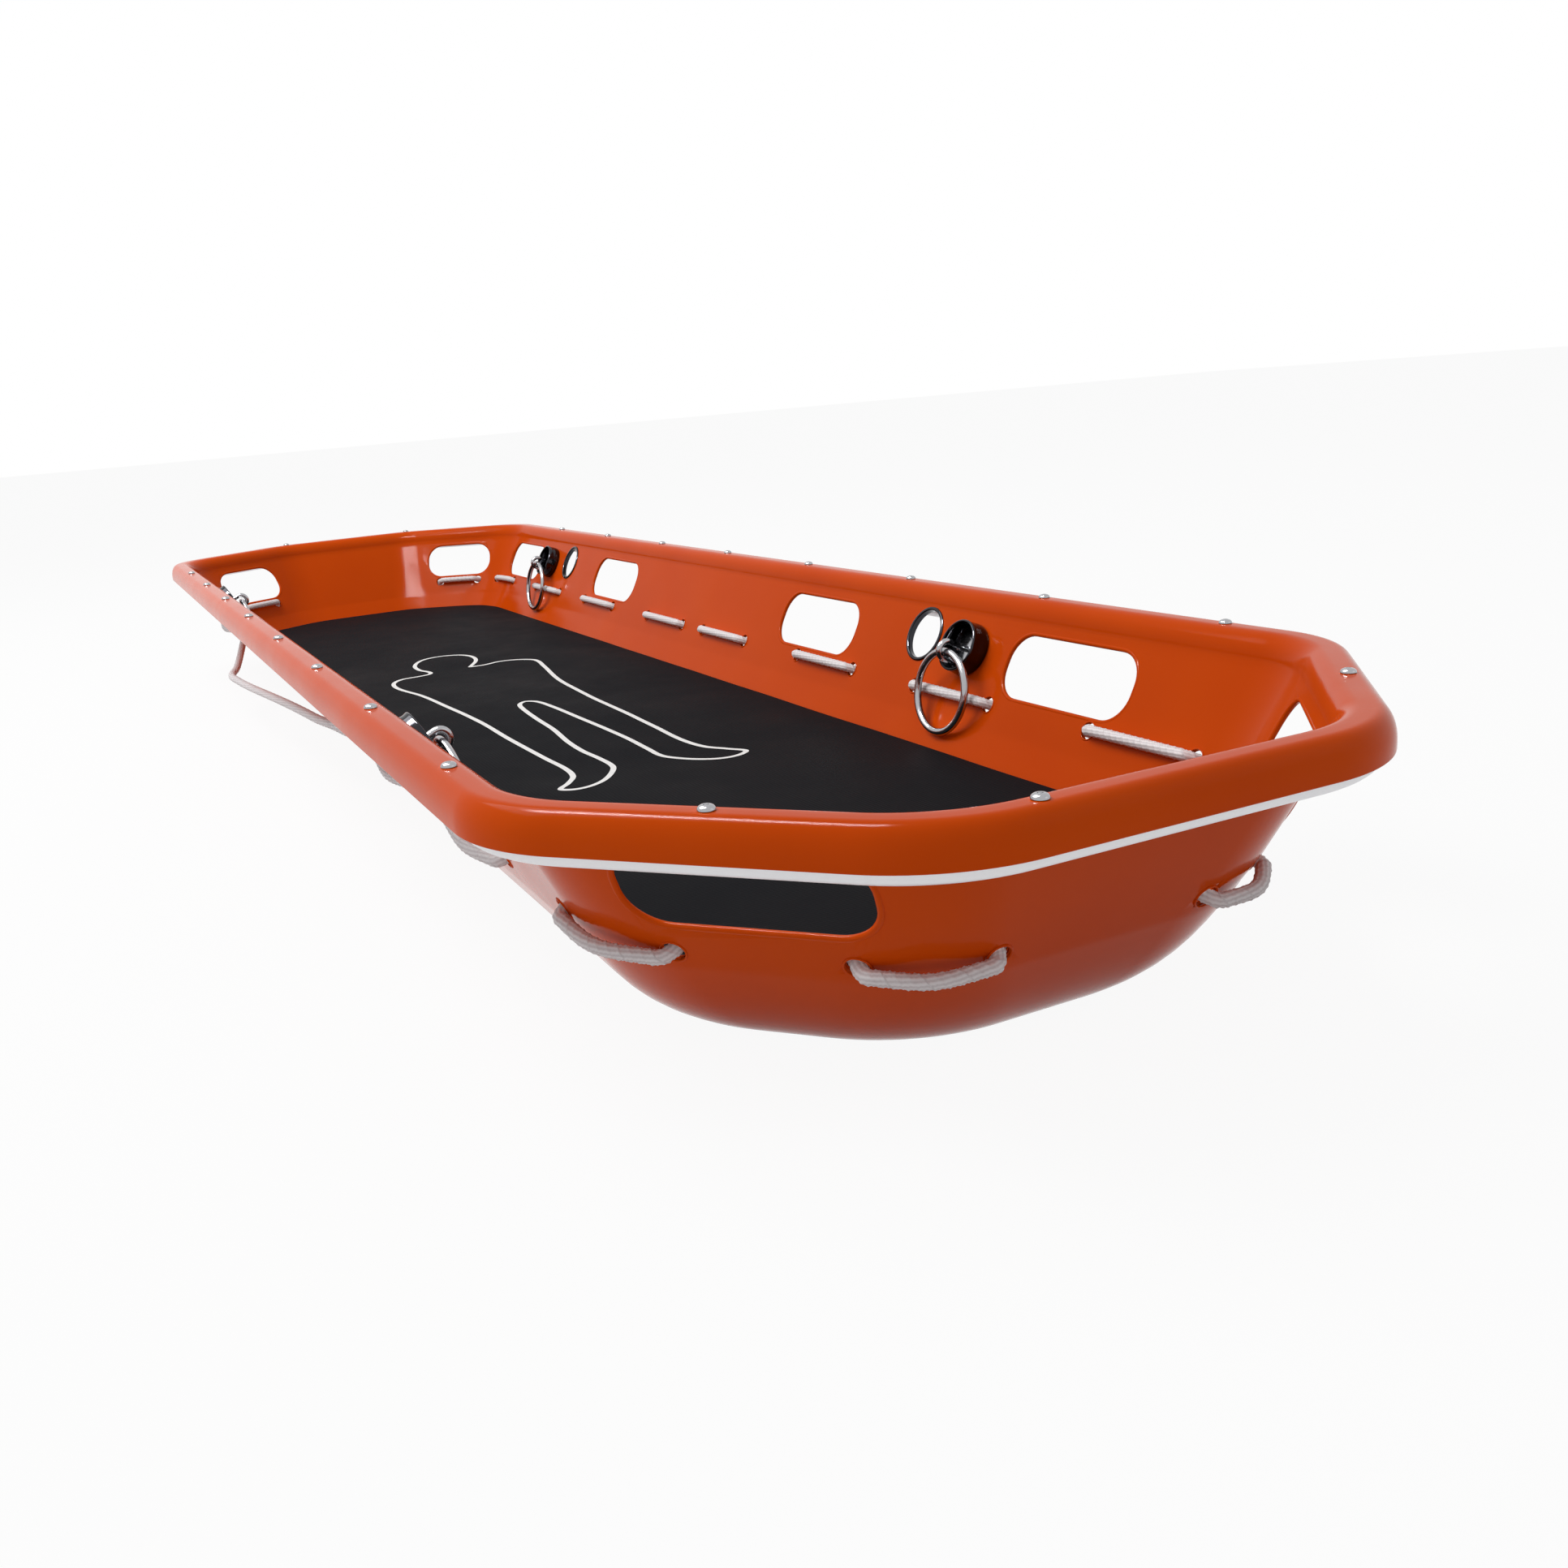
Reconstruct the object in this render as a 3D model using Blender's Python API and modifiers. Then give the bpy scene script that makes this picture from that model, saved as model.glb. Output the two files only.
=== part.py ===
"""Basket stretcher: a moulded rescue tray on a rolled-in tube frame.

Metres, +Z up, +X towards the foot end. The tray stands on its flat bottom at z = 0,
and the origin is the middle of that bottom. Run it in Blender 4.5 to make every piece.
"""

import math
from enum import IntEnum

import bmesh
import bpy
from mathutils import Matrix, Vector

# Overall sizes
LENGTH = 2.180
WIDTH = 0.630
HEIGHT = 0.185

# Plan of the rim, an octagon with round corners
FOOT_FLAT_WIDTH = 0.2774
FOOT_TAPER_LENGTH = 0.1813
HEAD_FLAT_WIDTH = 0.2196
HEAD_TAPER_LENGTH = 0.1181
RIM_CORNER_RADIUS = 0.098
WALL_CORNER_RADIUS = 0.095
BILGE_CORNER_RADIUS = 0.120
CORNER_STEPS = 5

# Section of the tray: the sheet, its rolled lip and its walls
SHELL_WALL = 0.0035
LIP_HALF_WIDTH = 0.0154
LIP_FLAT_HALF_WIDTH = 0.0045
LIP_DROP = 0.0240
LIP_SHOULDER_DROP = 0.0190
WALL_SLOPE = 0.5
WALL_TOP_DROP = 0.0200
CHINE_DROP = 0.1120
CHINE_HEIGHT = 0.0225
BILGE_STEP = 0.0145
FLOOR_INSET = 0.150

# Lacing of the grab rope through the wall, with the places of its holes in shares of the length
ROPE_RADIUS = 0.005
ROPE_DROP = 0.0907
ROPE_LEVEL_INSET = 0.0539
ROPE_GAP = 0.0010
ROPE_HOLE_RATIO = 1.5
ROPE_BULGE = 0.004
ROPE_SAG = 0.004
SLACK_BULGE = 0.042
SLACK_SAG = 0.037
SLACK_FADE = 0.85
# Round the foot end the rope runs lower on the wall by the dip
FOOT_DIP = 0.0120
FOOT_DIP_START = 0.385 * LENGTH
FOOT_DIP_END = 0.422 * LENGTH
OUTER_STEP = 0.055
SIDE_LACE_MIDDLE = -0.03578 * LENGTH
SIDE_LACE_OFFSETS = (0.04243 * LENGTH, 0.15963 * LENGTH, 0.26950 * LENGTH, 0.38761 * LENGTH)
SIDE_LACE_LENGTH = 0.120
END_LACE_X = -0.41009 * LENGTH
END_LACE_LENGTH = 0.065
FOOT_TAPER_LACE_LENGTH = 0.108
FOOT_FLAT_LACE_LENGTH = 0.145
HEAD_TAPER_LACE_LENGTH = 0.070
KNOT_RADIUS = 0.0105
KNOT_LENGTH = 0.034

# Hand slots, eyelets and the middle of the pattern along each side
SIDE_PATTERN_X = -0.03761 * LENGTH
SLOT_OFFSETS = (0.14266 * LENGTH, 0.33899 * LENGTH)
SLOT_LENGTH = 0.165
SLOT_HEIGHT = 0.060
SLOT_CORNER_RADIUS = 0.026
SLOT_DROP = 0.055
FOOT_SLOT_LENGTH = 0.148
HEAD_SLOT_LENGTH = 0.118
EYELET_OFFSET = 0.23807 * LENGTH
EYELET_DROP = 0.0447
EYELET_BORE_RADIUS = 0.0240
EYELET_WALL = 0.0016
EYELET_FLANGE = 0.0020

# Tube frame under the lip
TUBE_RADIUS = 0.0115
TUBE_WALL = 0.0020
TUBE_SIDES = 10
TUBE_DROP = 0.0225
TUBE_INSET = 0.0010
SPLICE_LENGTH = 0.120

# Rivets along the lip
RIVET_PITCH = 0.09931 * LENGTH
RIVET_FOOT_X = 0.36720 * LENGTH
SIDE_RIVETS = 8
RIVET_HEAD_RADIUS = 0.0048
RIVET_HEAD_HEIGHT = 0.0030
RIVET_SHOULDER_RADIUS = 0.0036
RIVET_TAIL_RADIUS = 0.0022
RIVET_TAIL_LENGTH = 0.0040
FOOT_FLAT_RIVET_Y = -0.087

# Lifting fittings: dished cup, eye, ring, two fixing rivets and a backing plate
FITTING_OFFSET = 0.27523 * LENGTH
FITTING_DROP = 0.051
CUP_BASE_RADIUS = 0.0255
CUP_MOUTH_RADIUS = 0.0235
CUP_DEPTH = 0.0190
CUP_WALL = 0.0018
EYE_FOOT_RADIUS = 0.0180
EYE_FOOT_THICKNESS = 0.0025
EYE_WIRE_RADIUS = 0.0030
EYE_INNER_RADIUS = 0.0050
EYE_AXIS_HEIGHT = 0.0265
EYE_AXIS_DROP = 0.0080
RING_WIRE_RADIUS = 0.0035
RING_RADIUS = 0.0375
RING_REST_ANGLE = 15.0
RING_PLAY = 0.0003
FIXING_SPACING = 0.0240
FIXING_RADIUS = 0.0030
FIXING_HEAD_RADIUS = 0.0048
FIXING_HEAD_HEIGHT = 0.0032
BACKING_RADIUS = 0.0220
BACKING_THICKNESS = 0.0020

# Mattress
PAD_RISE = 0.0050
PAD_CROWN = 0.0025
PAD_GAP = 0.0025
PAD_EDGE_RADIUS = 0.0080

# Gaps, the reach of the cutters to each side of the wall, and the step that finds the wall's heading
SEAT_GAP = 0.0003
HOLE_GAP = 0.0004
CUT_REACH = 0.014
HEADING_STEP = 0.008

# Worked out from the sizes above
HALF_LENGTH = LENGTH / 2 - LIP_HALF_WIDTH
HALF_WIDTH = WIDTH / 2 - LIP_HALF_WIDTH
FOOT_SHOULDER = HALF_LENGTH - FOOT_TAPER_LENGTH
HEAD_SHOULDER = HALF_LENGTH - HEAD_TAPER_LENGTH
TUBE_LEVEL = HEIGHT - TUBE_DROP
CHINE_LEVEL = HEIGHT - CHINE_DROP
BILGE_LEVEL = CHINE_LEVEL - CHINE_HEIGHT
ROPE_LEVEL = HEIGHT - ROPE_DROP
SLOT_LEVEL = HEIGHT - SLOT_DROP
EYELET_LEVEL = HEIGHT - EYELET_DROP
FITTING_LEVEL = HEIGHT - FITTING_DROP
PAD_TOP = BILGE_LEVEL + PAD_RISE
FRAME_JOINT_X = RIVET_FOOT_X - RIVET_PITCH * (SIDE_RIVETS // 2 + 0.5)
RING_AXIS_DROP = EYE_AXIS_DROP + EYE_INNER_RADIUS - RING_WIRE_RADIUS - RING_PLAY
ROPE_HOLE_RADIUS = ROPE_RADIUS * ROPE_HOLE_RATIO
ROPE_LIFT = SHELL_WALL / 2 + ROPE_RADIUS + ROPE_GAP


class Edge(IntEnum):
    """Edges of the rim, counter-clockwise seen from above."""

    FOOT_LEFT = 0
    FOOT = 1
    FOOT_RIGHT = 2
    RIGHT = 3
    HEAD_RIGHT = 4
    HEAD = 5
    HEAD_LEFT = 6
    LEFT = 7


# Plan geometry

def rim_corners():
    """Corners of the crown line of the lip; edge i runs from corner i to corner i + 1."""
    foot = FOOT_FLAT_WIDTH / 2
    head = HEAD_FLAT_WIDTH / 2
    return [
        Vector((FOOT_SHOULDER, -HALF_WIDTH)),
        Vector((HALF_LENGTH, -foot)),
        Vector((HALF_LENGTH, foot)),
        Vector((FOOT_SHOULDER, HALF_WIDTH)),
        Vector((-HEAD_SHOULDER, HALF_WIDTH)),
        Vector((-HALF_LENGTH, head)),
        Vector((-HALF_LENGTH, -head)),
        Vector((-HEAD_SHOULDER, -HALF_WIDTH)),
    ]


def edge_frame(edge):
    """Start, direction, outward normal and length of one edge of the crown line."""
    corners = rim_corners()
    start = corners[edge]
    run = corners[(edge + 1) % 8] - start
    direction = run.normalized()
    return start, direction, Vector((direction.y, -direction.x)), run.length


def inset_corners(inset):
    """Corners of the rim's octagon moved inwards by inset."""
    corners = []
    for edge in range(8):
        start, direction, outward, _ = edge_frame(edge)
        _, before, before_out, _ = edge_frame(edge - 1)
        # Both edges pass at the inset from the corner, so the corner moves along both.
        turn = before.cross(direction)
        shift = -inset * (outward - before_out)
        along = shift.cross(direction) / turn
        corners.append(start - before_out * inset + before * along)
    return corners


def corner_arc(corners, index, radius):
    """Points of the round at one corner, with the round fitted to its neighbours."""
    corner = corners[index]
    before = (corners[index - 1] - corner).normalized()
    after = (corners[(index + 1) % 8] - corner).normalized()
    half_turn = (math.pi - before.angle(after)) / 2
    tangent = radius * math.tan(half_turn)
    for other in (index - 1, (index + 1) % 8):
        edge = corners[other] - corner
        back = corners[other - 1] - corners[other]
        onward = corners[(other + 1) % 8] - corners[other]
        other_tangent = radius * math.tan((math.pi - back.angle(onward)) / 2)
        tangent = min(tangent, 0.98 * edge.length * tangent / (tangent + other_tangent))
    fitted = tangent / math.tan(half_turn)
    centre = corner + (before + after).normalized() * (fitted / math.cos(half_turn))
    first = corner + before * tangent - centre
    points = []
    for step in range(CORNER_STEPS + 1):
        angle = 2 * half_turn * step / CORNER_STEPS
        points.append(centre + Matrix.Rotation(angle, 2) @ first)
    return points


def outline(inset, radius, level):
    """A closed ring of points at one inset and level."""
    corners = inset_corners(inset)
    points = []
    for index in range(8):
        points += [Vector((p.x, p.y, level)) for p in corner_arc(corners, index, radius)]
    return points


def wall_inset(level):
    """Inset of the inner face of the straight wall at a level."""
    return ROPE_LEVEL_INSET - WALL_SLOPE * (level - ROPE_LEVEL)


def wall_matrix(point, outward):
    """Matrix at a point of the wall: x back along the edge, y up the wall, z into the tray."""
    up = Vector((outward.x * WALL_SLOPE, outward.y * WALL_SLOPE, 1)).normalized()
    inward = Vector((-outward.x, -outward.y, WALL_SLOPE)).normalized()
    frame = Matrix((up.cross(inward), up, inward)).transposed().to_4x4()
    frame.translation = point
    return frame


def wall_frame(edge, along, level):
    """Matrix on the inner face of a straight wall."""
    start, direction, outward, _ = edge_frame(edge)
    foot = start + direction * along - outward * wall_inset(level)
    return wall_matrix(Vector((foot.x, foot.y, level)), outward)


def side_along(edge, x):
    """Distance along a long side of the point at x."""
    return abs(x - rim_corners()[edge].x)


# Mesh helpers

def clear_scene():
    for obj in list(bpy.data.objects):
        bpy.data.objects.remove(obj)
    for collection in list(bpy.data.collections):
        bpy.data.collections.remove(collection)


def collection_for(name, hidden):
    collection = bpy.data.collections.new(name)
    collection.hide_render = hidden
    bpy.context.scene.collection.children.link(collection)
    return collection


def material(name, colour, roughness, metallic=0.0):
    made = bpy.data.materials.new(name)
    made.use_nodes = True
    made.diffuse_color = (*colour, 1)
    shader = made.node_tree.nodes["Principled BSDF"]
    shader.inputs["Base Color"].default_value = (*colour, 1)
    shader.inputs["Roughness"].default_value = roughness
    shader.inputs["Metallic"].default_value = metallic
    return made


def place(name, mesh, group, finish, matrix=None, flat=False):
    """An object of the mesh in the group, at the matrix."""
    obj = bpy.data.objects.new(name, mesh)
    group.objects.link(obj)
    if finish is not None:
        mesh.materials.clear()
        mesh.materials.append(finish)
    if not flat:
        mesh.shade_smooth()
        mesh.set_sharp_from_angle(angle=math.radians(40))
    if matrix is not None:
        obj.matrix_world = matrix
    return obj


def mesh_from(bm, name):
    mesh = bpy.data.meshes.new(name)
    bm.to_mesh(mesh)
    bm.free()
    return mesh


def baked(obj, name):
    """The evaluated mesh of a helper object, welded and facing out; the helper is removed."""
    graph = bpy.context.evaluated_depsgraph_get()
    mesh = bpy.data.meshes.new_from_object(obj.evaluated_get(graph))
    matrix = obj.matrix_world.copy()
    bpy.data.objects.remove(obj)
    bm = bmesh.new()
    bm.from_mesh(mesh)
    bmesh.ops.remove_doubles(bm, verts=bm.verts, dist=0.00001)
    bmesh.ops.recalc_face_normals(bm, faces=bm.faces)
    bm.transform(matrix)
    bm.to_mesh(mesh)
    bm.free()
    mesh.name = name
    return mesh


def turned_mesh(name, profile, steps, closed=False):
    """A profile of (radius, height) points turned about Z."""
    mesh = bpy.data.meshes.new(name + "_profile")
    edges = [(i, i + 1) for i in range(len(profile) - 1)]
    if closed:
        edges.append((len(profile) - 1, 0))
    mesh.from_pydata([(r, 0, h) for r, h in profile], edges, [])
    obj = bpy.data.objects.new(name, mesh)
    bpy.context.scene.collection.objects.link(obj)
    screw = obj.modifiers.new("turn", "SCREW")
    screw.axis = "Z"
    screw.angle = math.tau
    screw.steps = steps
    screw.render_steps = steps
    screw.use_merge_vertices = True
    screw.merge_threshold = 0.00001
    return baked(obj, name)


def curve_object(name, points, radius, resolution, cyclic=False, caps=True):
    curve = bpy.data.curves.new(name, "CURVE")
    curve.dimensions = "3D"
    curve.bevel_depth = radius
    curve.bevel_resolution = resolution
    curve.use_fill_caps = caps and not cyclic
    spline = curve.splines.new("POLY")
    spline.points.add(len(points) - 1)
    for point, place_at in zip(spline.points, points):
        point.co = (*place_at, 1)
    spline.use_cyclic_u = cyclic
    obj = bpy.data.objects.new(name, curve)
    bpy.context.scene.collection.objects.link(obj)
    return obj


def slab_mesh(name, points, half_depth):
    """A flat outline in x and y, drawn out along z both ways."""
    curve = bpy.data.curves.new(name, "CURVE")
    curve.dimensions = "2D"
    curve.fill_mode = "BOTH"
    curve.extrude = half_depth
    spline = curve.splines.new("POLY")
    spline.points.add(len(points) - 1)
    for point, place_at in zip(spline.points, points):
        point.co = (place_at[0], place_at[1], 0, 1)
    spline.use_cyclic_u = True
    obj = bpy.data.objects.new(name, curve)
    bpy.context.scene.collection.objects.link(obj)
    return baked(obj, name)


def copies(name, mesh, frames):
    """One mesh that holds a copy of the given mesh at each frame."""
    bm = bmesh.new()
    for frame in frames:
        part = bmesh.new()
        part.from_mesh(mesh)
        part.transform(frame)
        loose = bpy.data.meshes.new("copy")
        part.to_mesh(loose)
        part.free()
        bm.from_mesh(loose)
        bpy.data.meshes.remove(loose)
    return mesh_from(bm, name)


def rod_mesh(name, radius, low, high, sides):
    """A plain cylinder about Z between two heights, with a corner at +X like a turned shape's."""
    bm = bmesh.new()
    shift = Matrix.Translation((0, 0, (low + high) / 2)) @ Matrix.Rotation(math.pi / 2, 4, "Z")
    bmesh.ops.create_cone(
        bm, cap_ends=True, segments=sides, radius1=radius, radius2=radius,
        depth=high - low, matrix=shift,
    )
    return mesh_from(bm, name)


def cut(obj, mesh, cutters):
    """Cuts the mesh out of the object, and keeps it as a named helper."""
    helper = place(mesh.name, mesh, cutters, None, flat=True)
    helper.display_type = "WIRE"
    helper.hide_render = True
    modifier = obj.modifiers.new(mesh.name, "BOOLEAN")
    modifier.operation = "DIFFERENCE"
    modifier.solver = "EXACT"
    modifier.object = helper


def rounded_slot(length, height, radius):
    """Outline of a hand slot, corner by corner."""
    points = []
    steps = 3
    for quarter in range(4):
        cx = (length / 2 - radius) * (1 if quarter in (0, 3) else -1)
        cy = (height / 2 - radius) * (1 if quarter in (0, 1) else -1)
        for step in range(steps + 1):
            angle = math.pi / 2 * (quarter + step / steps)
            points.append((cx + radius * math.cos(angle), cy + radius * math.sin(angle)))
    return points


# Places of the repeated features

def slot_places():
    """(edge, distance along it, slot length) of every hand slot."""
    places = []
    for edge in (Edge.RIGHT, Edge.LEFT):
        for offset in SLOT_OFFSETS:
            for sign in (-1, 1):
                places.append((edge, side_along(edge, SIDE_PATTERN_X + sign * offset), SLOT_LENGTH))
    for edge in (Edge.FOOT_LEFT, Edge.FOOT_RIGHT):
        places.append((edge, edge_frame(edge)[3] / 2, FOOT_SLOT_LENGTH))
    for edge in (Edge.HEAD_LEFT, Edge.HEAD_RIGHT):
        places.append((edge, edge_frame(edge)[3] / 2, HEAD_SLOT_LENGTH))
    return places


def side_frames(offset, level):
    """(name, frame) at the four places that mirror each other about the side pattern."""
    frames = []
    for edge, side in ((Edge.LEFT, "left"), (Edge.RIGHT, "right")):
        for sign, end in ((-1, "head"), (1, "foot")):
            along = side_along(edge, SIDE_PATTERN_X + sign * offset)
            frames.append((f"{end}_{side}", wall_frame(edge, along, level)))
    return frames


def rivet_points():
    """Rivet places on the crown line, by the part of the rim."""
    groups = {"left": [], "right": [], "foot": [], "head": []}
    for index in range(SIDE_RIVETS):
        x = RIVET_FOOT_X - RIVET_PITCH * index
        groups["left"].append((x, -HALF_WIDTH))
        groups["right"].append((x, HALF_WIDTH))
    for edge in (Edge.FOOT_LEFT, Edge.FOOT_RIGHT):
        start, direction, _, length = edge_frame(edge)
        groups["foot"].append(tuple(start + direction * length / 2))
    groups["foot"].append((HALF_LENGTH, FOOT_FLAT_RIVET_Y))
    for index in (Edge.HEAD, Edge.HEAD_LEFT):
        middle = corner_arc(rim_corners(), index, RIM_CORNER_RADIUS)[CORNER_STEPS // 2]
        groups["head"].append(tuple(middle))
    return groups


def rivet_frames():
    return [Matrix.Translation((x, y, 0)) for points in rivet_points().values() for x, y in points]


def fixing_spots():
    """Places of the two fixing rivets of a lifting fitting."""
    return [Matrix.Translation((side * FIXING_SPACING / 2, 0, 0)) for side in (-1, 1)]


class WallLine:
    """The wall's inner face at the rope's level, a closed line measured from the head end's middle."""

    def __init__(self):
        ring = outline(ROPE_LEVEL_INSET, WALL_CORNER_RADIUS, ROPE_LEVEL)
        first = Edge.HEAD_LEFT * (CORNER_STEPS + 1)
        ring = ring[first:] + ring[:first]
        middle = (ring[-1] + ring[0]) / 2
        self.points = [middle] + ring + [middle]
        self.stations = [0.0]
        for before, after in zip(self.points, self.points[1:]):
            self.stations.append(self.stations[-1] + (after - before).length)
        self.length = self.stations[-1]

    def point(self, station):
        station %= self.length
        for index, end in enumerate(self.stations[1:]):
            if station <= end:
                start = self.stations[index]
                share = (station - start) / (end - start)
                return self.points[index].lerp(self.points[index + 1], share)
        return self.points[-1].copy()

    def frame(self, station):
        """Matrix on the wall: x back along the line, y up the wall, z into the tray."""
        direction = self.point(station + HEADING_STEP) - self.point(station - HEADING_STEP)
        direction.normalize()
        here = self.point(station)
        share = max(0.0, min(1.0, (here.x - FOOT_DIP_START) / (FOOT_DIP_END - FOOT_DIP_START)))
        dip = FOOT_DIP * share * share * (3 - 2 * share)
        return wall_matrix(here, Vector((direction.y, -direction.x))) @ Matrix.Translation((0, -dip, 0))

    def nearest(self, x, y):
        """Station of the point on the line that is nearest to x, y."""
        target = Vector((x, y, ROPE_LEVEL))
        best = None
        for index, (before, after) in enumerate(zip(self.points, self.points[1:])):
            run = after - before
            share = max(0.0, min(1.0, (target - before).dot(run) / run.length_squared))
            gap = (before + run * share - target).length
            if best is None or gap < best[0]:
                best = (gap, self.stations[index] + run.length * share)
        return best[1]


def laces(line):
    """Stretches of rope inside the tray, as (first, last) stations in walking order."""
    places = []
    for edge, length in (
        (Edge.HEAD_LEFT, HEAD_TAPER_LACE_LENGTH),
        (Edge.FOOT_LEFT, FOOT_TAPER_LACE_LENGTH),
        (Edge.FOOT, FOOT_FLAT_LACE_LENGTH),
        (Edge.FOOT_RIGHT, FOOT_TAPER_LACE_LENGTH),
        (Edge.HEAD_RIGHT, HEAD_TAPER_LACE_LENGTH),
    ):
        start, direction, _, run = edge_frame(edge)
        middle = start + direction * run / 2
        places.append((line.nearest(middle.x, middle.y), length))
    for y in (-HALF_WIDTH, HALF_WIDTH):
        places.append((line.nearest(END_LACE_X, y), END_LACE_LENGTH))
        for offset in SIDE_LACE_OFFSETS:
            for sign in (-1, 1):
                x = SIDE_LACE_MIDDLE + sign * offset
                if x > END_LACE_X + (END_LACE_LENGTH + SIDE_LACE_LENGTH) / 2:
                    places.append((line.nearest(x, y), SIDE_LACE_LENGTH))
    return sorted((middle - length / 2, middle + length / 2) for middle, length in places)


def slack_laces(line):
    """The holes on the left side that the rope passes by, as it hangs slack outside them."""
    first = line.nearest(SIDE_LACE_MIDDLE - SIDE_LACE_OFFSETS[2], -HALF_WIDTH)
    last = line.nearest(SIDE_LACE_MIDDLE + SIDE_LACE_OFFSETS[1], -HALF_WIDTH)
    return [lace for lace in laces(line) if first < lace[0] and lace[1] < last]


# Grab rope

def lace_point(line, station, lift, bulge=0.0, sag=0.0):
    """A point beside the wall's middle: lift goes into the tray, bulge level away from it."""
    frame = line.frame(station)
    along = frame.col[0].xyz
    point = frame @ Vector((0, 0, lift - SHELL_WALL / 2))
    return point + Vector((-along.y, along.x, 0)) * bulge - Vector((0, 0, sag))


def hole_points(line, station, inwards):
    """The rope's way through one hole, in walking order."""
    lift = -ROPE_LIFT if inwards else ROPE_LIFT
    near = 0.55 * ROPE_HOLE_RADIUS
    far = 1.35 * ROPE_HOLE_RADIUS
    return [
        lace_point(line, station - far, lift),
        lace_point(line, station - near, 0.8 * lift),
        lace_point(line, station + near, -0.8 * lift),
        lace_point(line, station + far, -lift),
    ]


def outer_span(line, start, end):
    """The rope outside the wall between two stations."""
    length = end - start
    slack = length > 3 * SIDE_LACE_LENGTH
    share = min(1, length / SIDE_LACE_LENGTH)
    steps = max(2, round(length / OUTER_STEP))
    points = []
    for step in range(1, steps):
        part = step / steps
        lean = min(1, 8 * part * (1 - part))
        if slack:
            bulge = SLACK_BULGE * lean * (1 - SLACK_FADE * part)
            sag = SLACK_SAG * math.sin(math.pi * part**0.45) * (1 - 0.6 * part)
        else:
            bulge = ROPE_BULGE * share * lean
            sag = ROPE_SAG * share * lean
        points.append(lace_point(line, start + length * part, -ROPE_LIFT, bulge, sag))
    return points


def rope_route(line):
    """The whole rope, from one side of the knot round the tray to the other side."""
    slack = slack_laces(line)
    used = [lace for lace in laces(line) if lace not in slack]
    reach = KNOT_LENGTH / 2 + SEAT_GAP
    knot_lift = -SHELL_WALL / 2 - KNOT_RADIUS - ROPE_GAP
    far = 1.35 * ROPE_HOLE_RADIUS
    lead = reach + KNOT_LENGTH / 2
    points = [lace_point(line, reach, knot_lift), lace_point(line, lead, knot_lift)]
    here = lead
    for first, last in used:
        points += outer_span(line, here, first - far)
        points += hole_points(line, first, inwards=True)
        points += hole_points(line, last, inwards=False)
        here = last + far
    points += outer_span(line, here, line.length - lead)
    points.append(lace_point(line, -lead, knot_lift))
    points.append(lace_point(line, -reach, knot_lift))
    return points


# Pieces

def tray_profile():
    """(inset, level, corner radius) of the tray's upper face, from the floor out to the lip's end."""
    chine_inset = wall_inset(CHINE_LEVEL)
    bilge_inset = chine_inset + BILGE_STEP
    depth = BILGE_LEVEL - SHELL_WALL
    reach = FLOOR_INSET - bilge_inset
    profile = [(FLOOR_INSET, SHELL_WALL, BILGE_CORNER_RADIUS)]
    for part, rise in ((0.35, 0.11), (0.74, 0.45)):
        profile.append((FLOOR_INSET - reach * part, SHELL_WALL + depth * rise, BILGE_CORNER_RADIUS))
    profile.append((bilge_inset, BILGE_LEVEL, BILGE_CORNER_RADIUS))
    profile.append((chine_inset, CHINE_LEVEL, BILGE_CORNER_RADIUS))
    profile.append((ROPE_LEVEL_INSET, ROPE_LEVEL, WALL_CORNER_RADIUS))
    top_level = HEIGHT - WALL_TOP_DROP
    top_inset = wall_inset(top_level)
    profile.append((top_inset, top_level, RIM_CORNER_RADIUS))
    for angle in (25, 55):
        turn = math.radians(angle)
        inset = LIP_FLAT_HALF_WIDTH + (top_inset - LIP_FLAT_HALF_WIDTH) * math.cos(turn)
        level = top_level + WALL_TOP_DROP * math.sin(turn)
        profile.append((inset, level, RIM_CORNER_RADIUS))
    profile.append((LIP_FLAT_HALF_WIDTH, HEIGHT, RIM_CORNER_RADIUS))
    round_width = LIP_HALF_WIDTH - LIP_FLAT_HALF_WIDTH
    for angle in (90, 60, 30, 0):
        turn = math.radians(angle)
        inset = -LIP_FLAT_HALF_WIDTH - round_width * math.cos(turn)
        level = HEIGHT - LIP_SHOULDER_DROP * (1 - math.sin(turn))
        profile.append((inset, level, RIM_CORNER_RADIUS - inset))
    profile.append((-LIP_HALF_WIDTH, HEIGHT - LIP_DROP, RIM_CORNER_RADIUS + LIP_HALF_WIDTH))
    return profile


def loft(bm, rings):
    """Quads between rings of equal length, each closed on itself."""
    made = [[bm.verts.new(point) for point in ring] for ring in rings]
    count = len(made[0])
    for lower, upper in zip(made, made[1:]):
        for index in range(count):
            following = (index + 1) % count
            bm.faces.new((lower[index], lower[following], upper[following], upper[index]))
    return made


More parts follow.
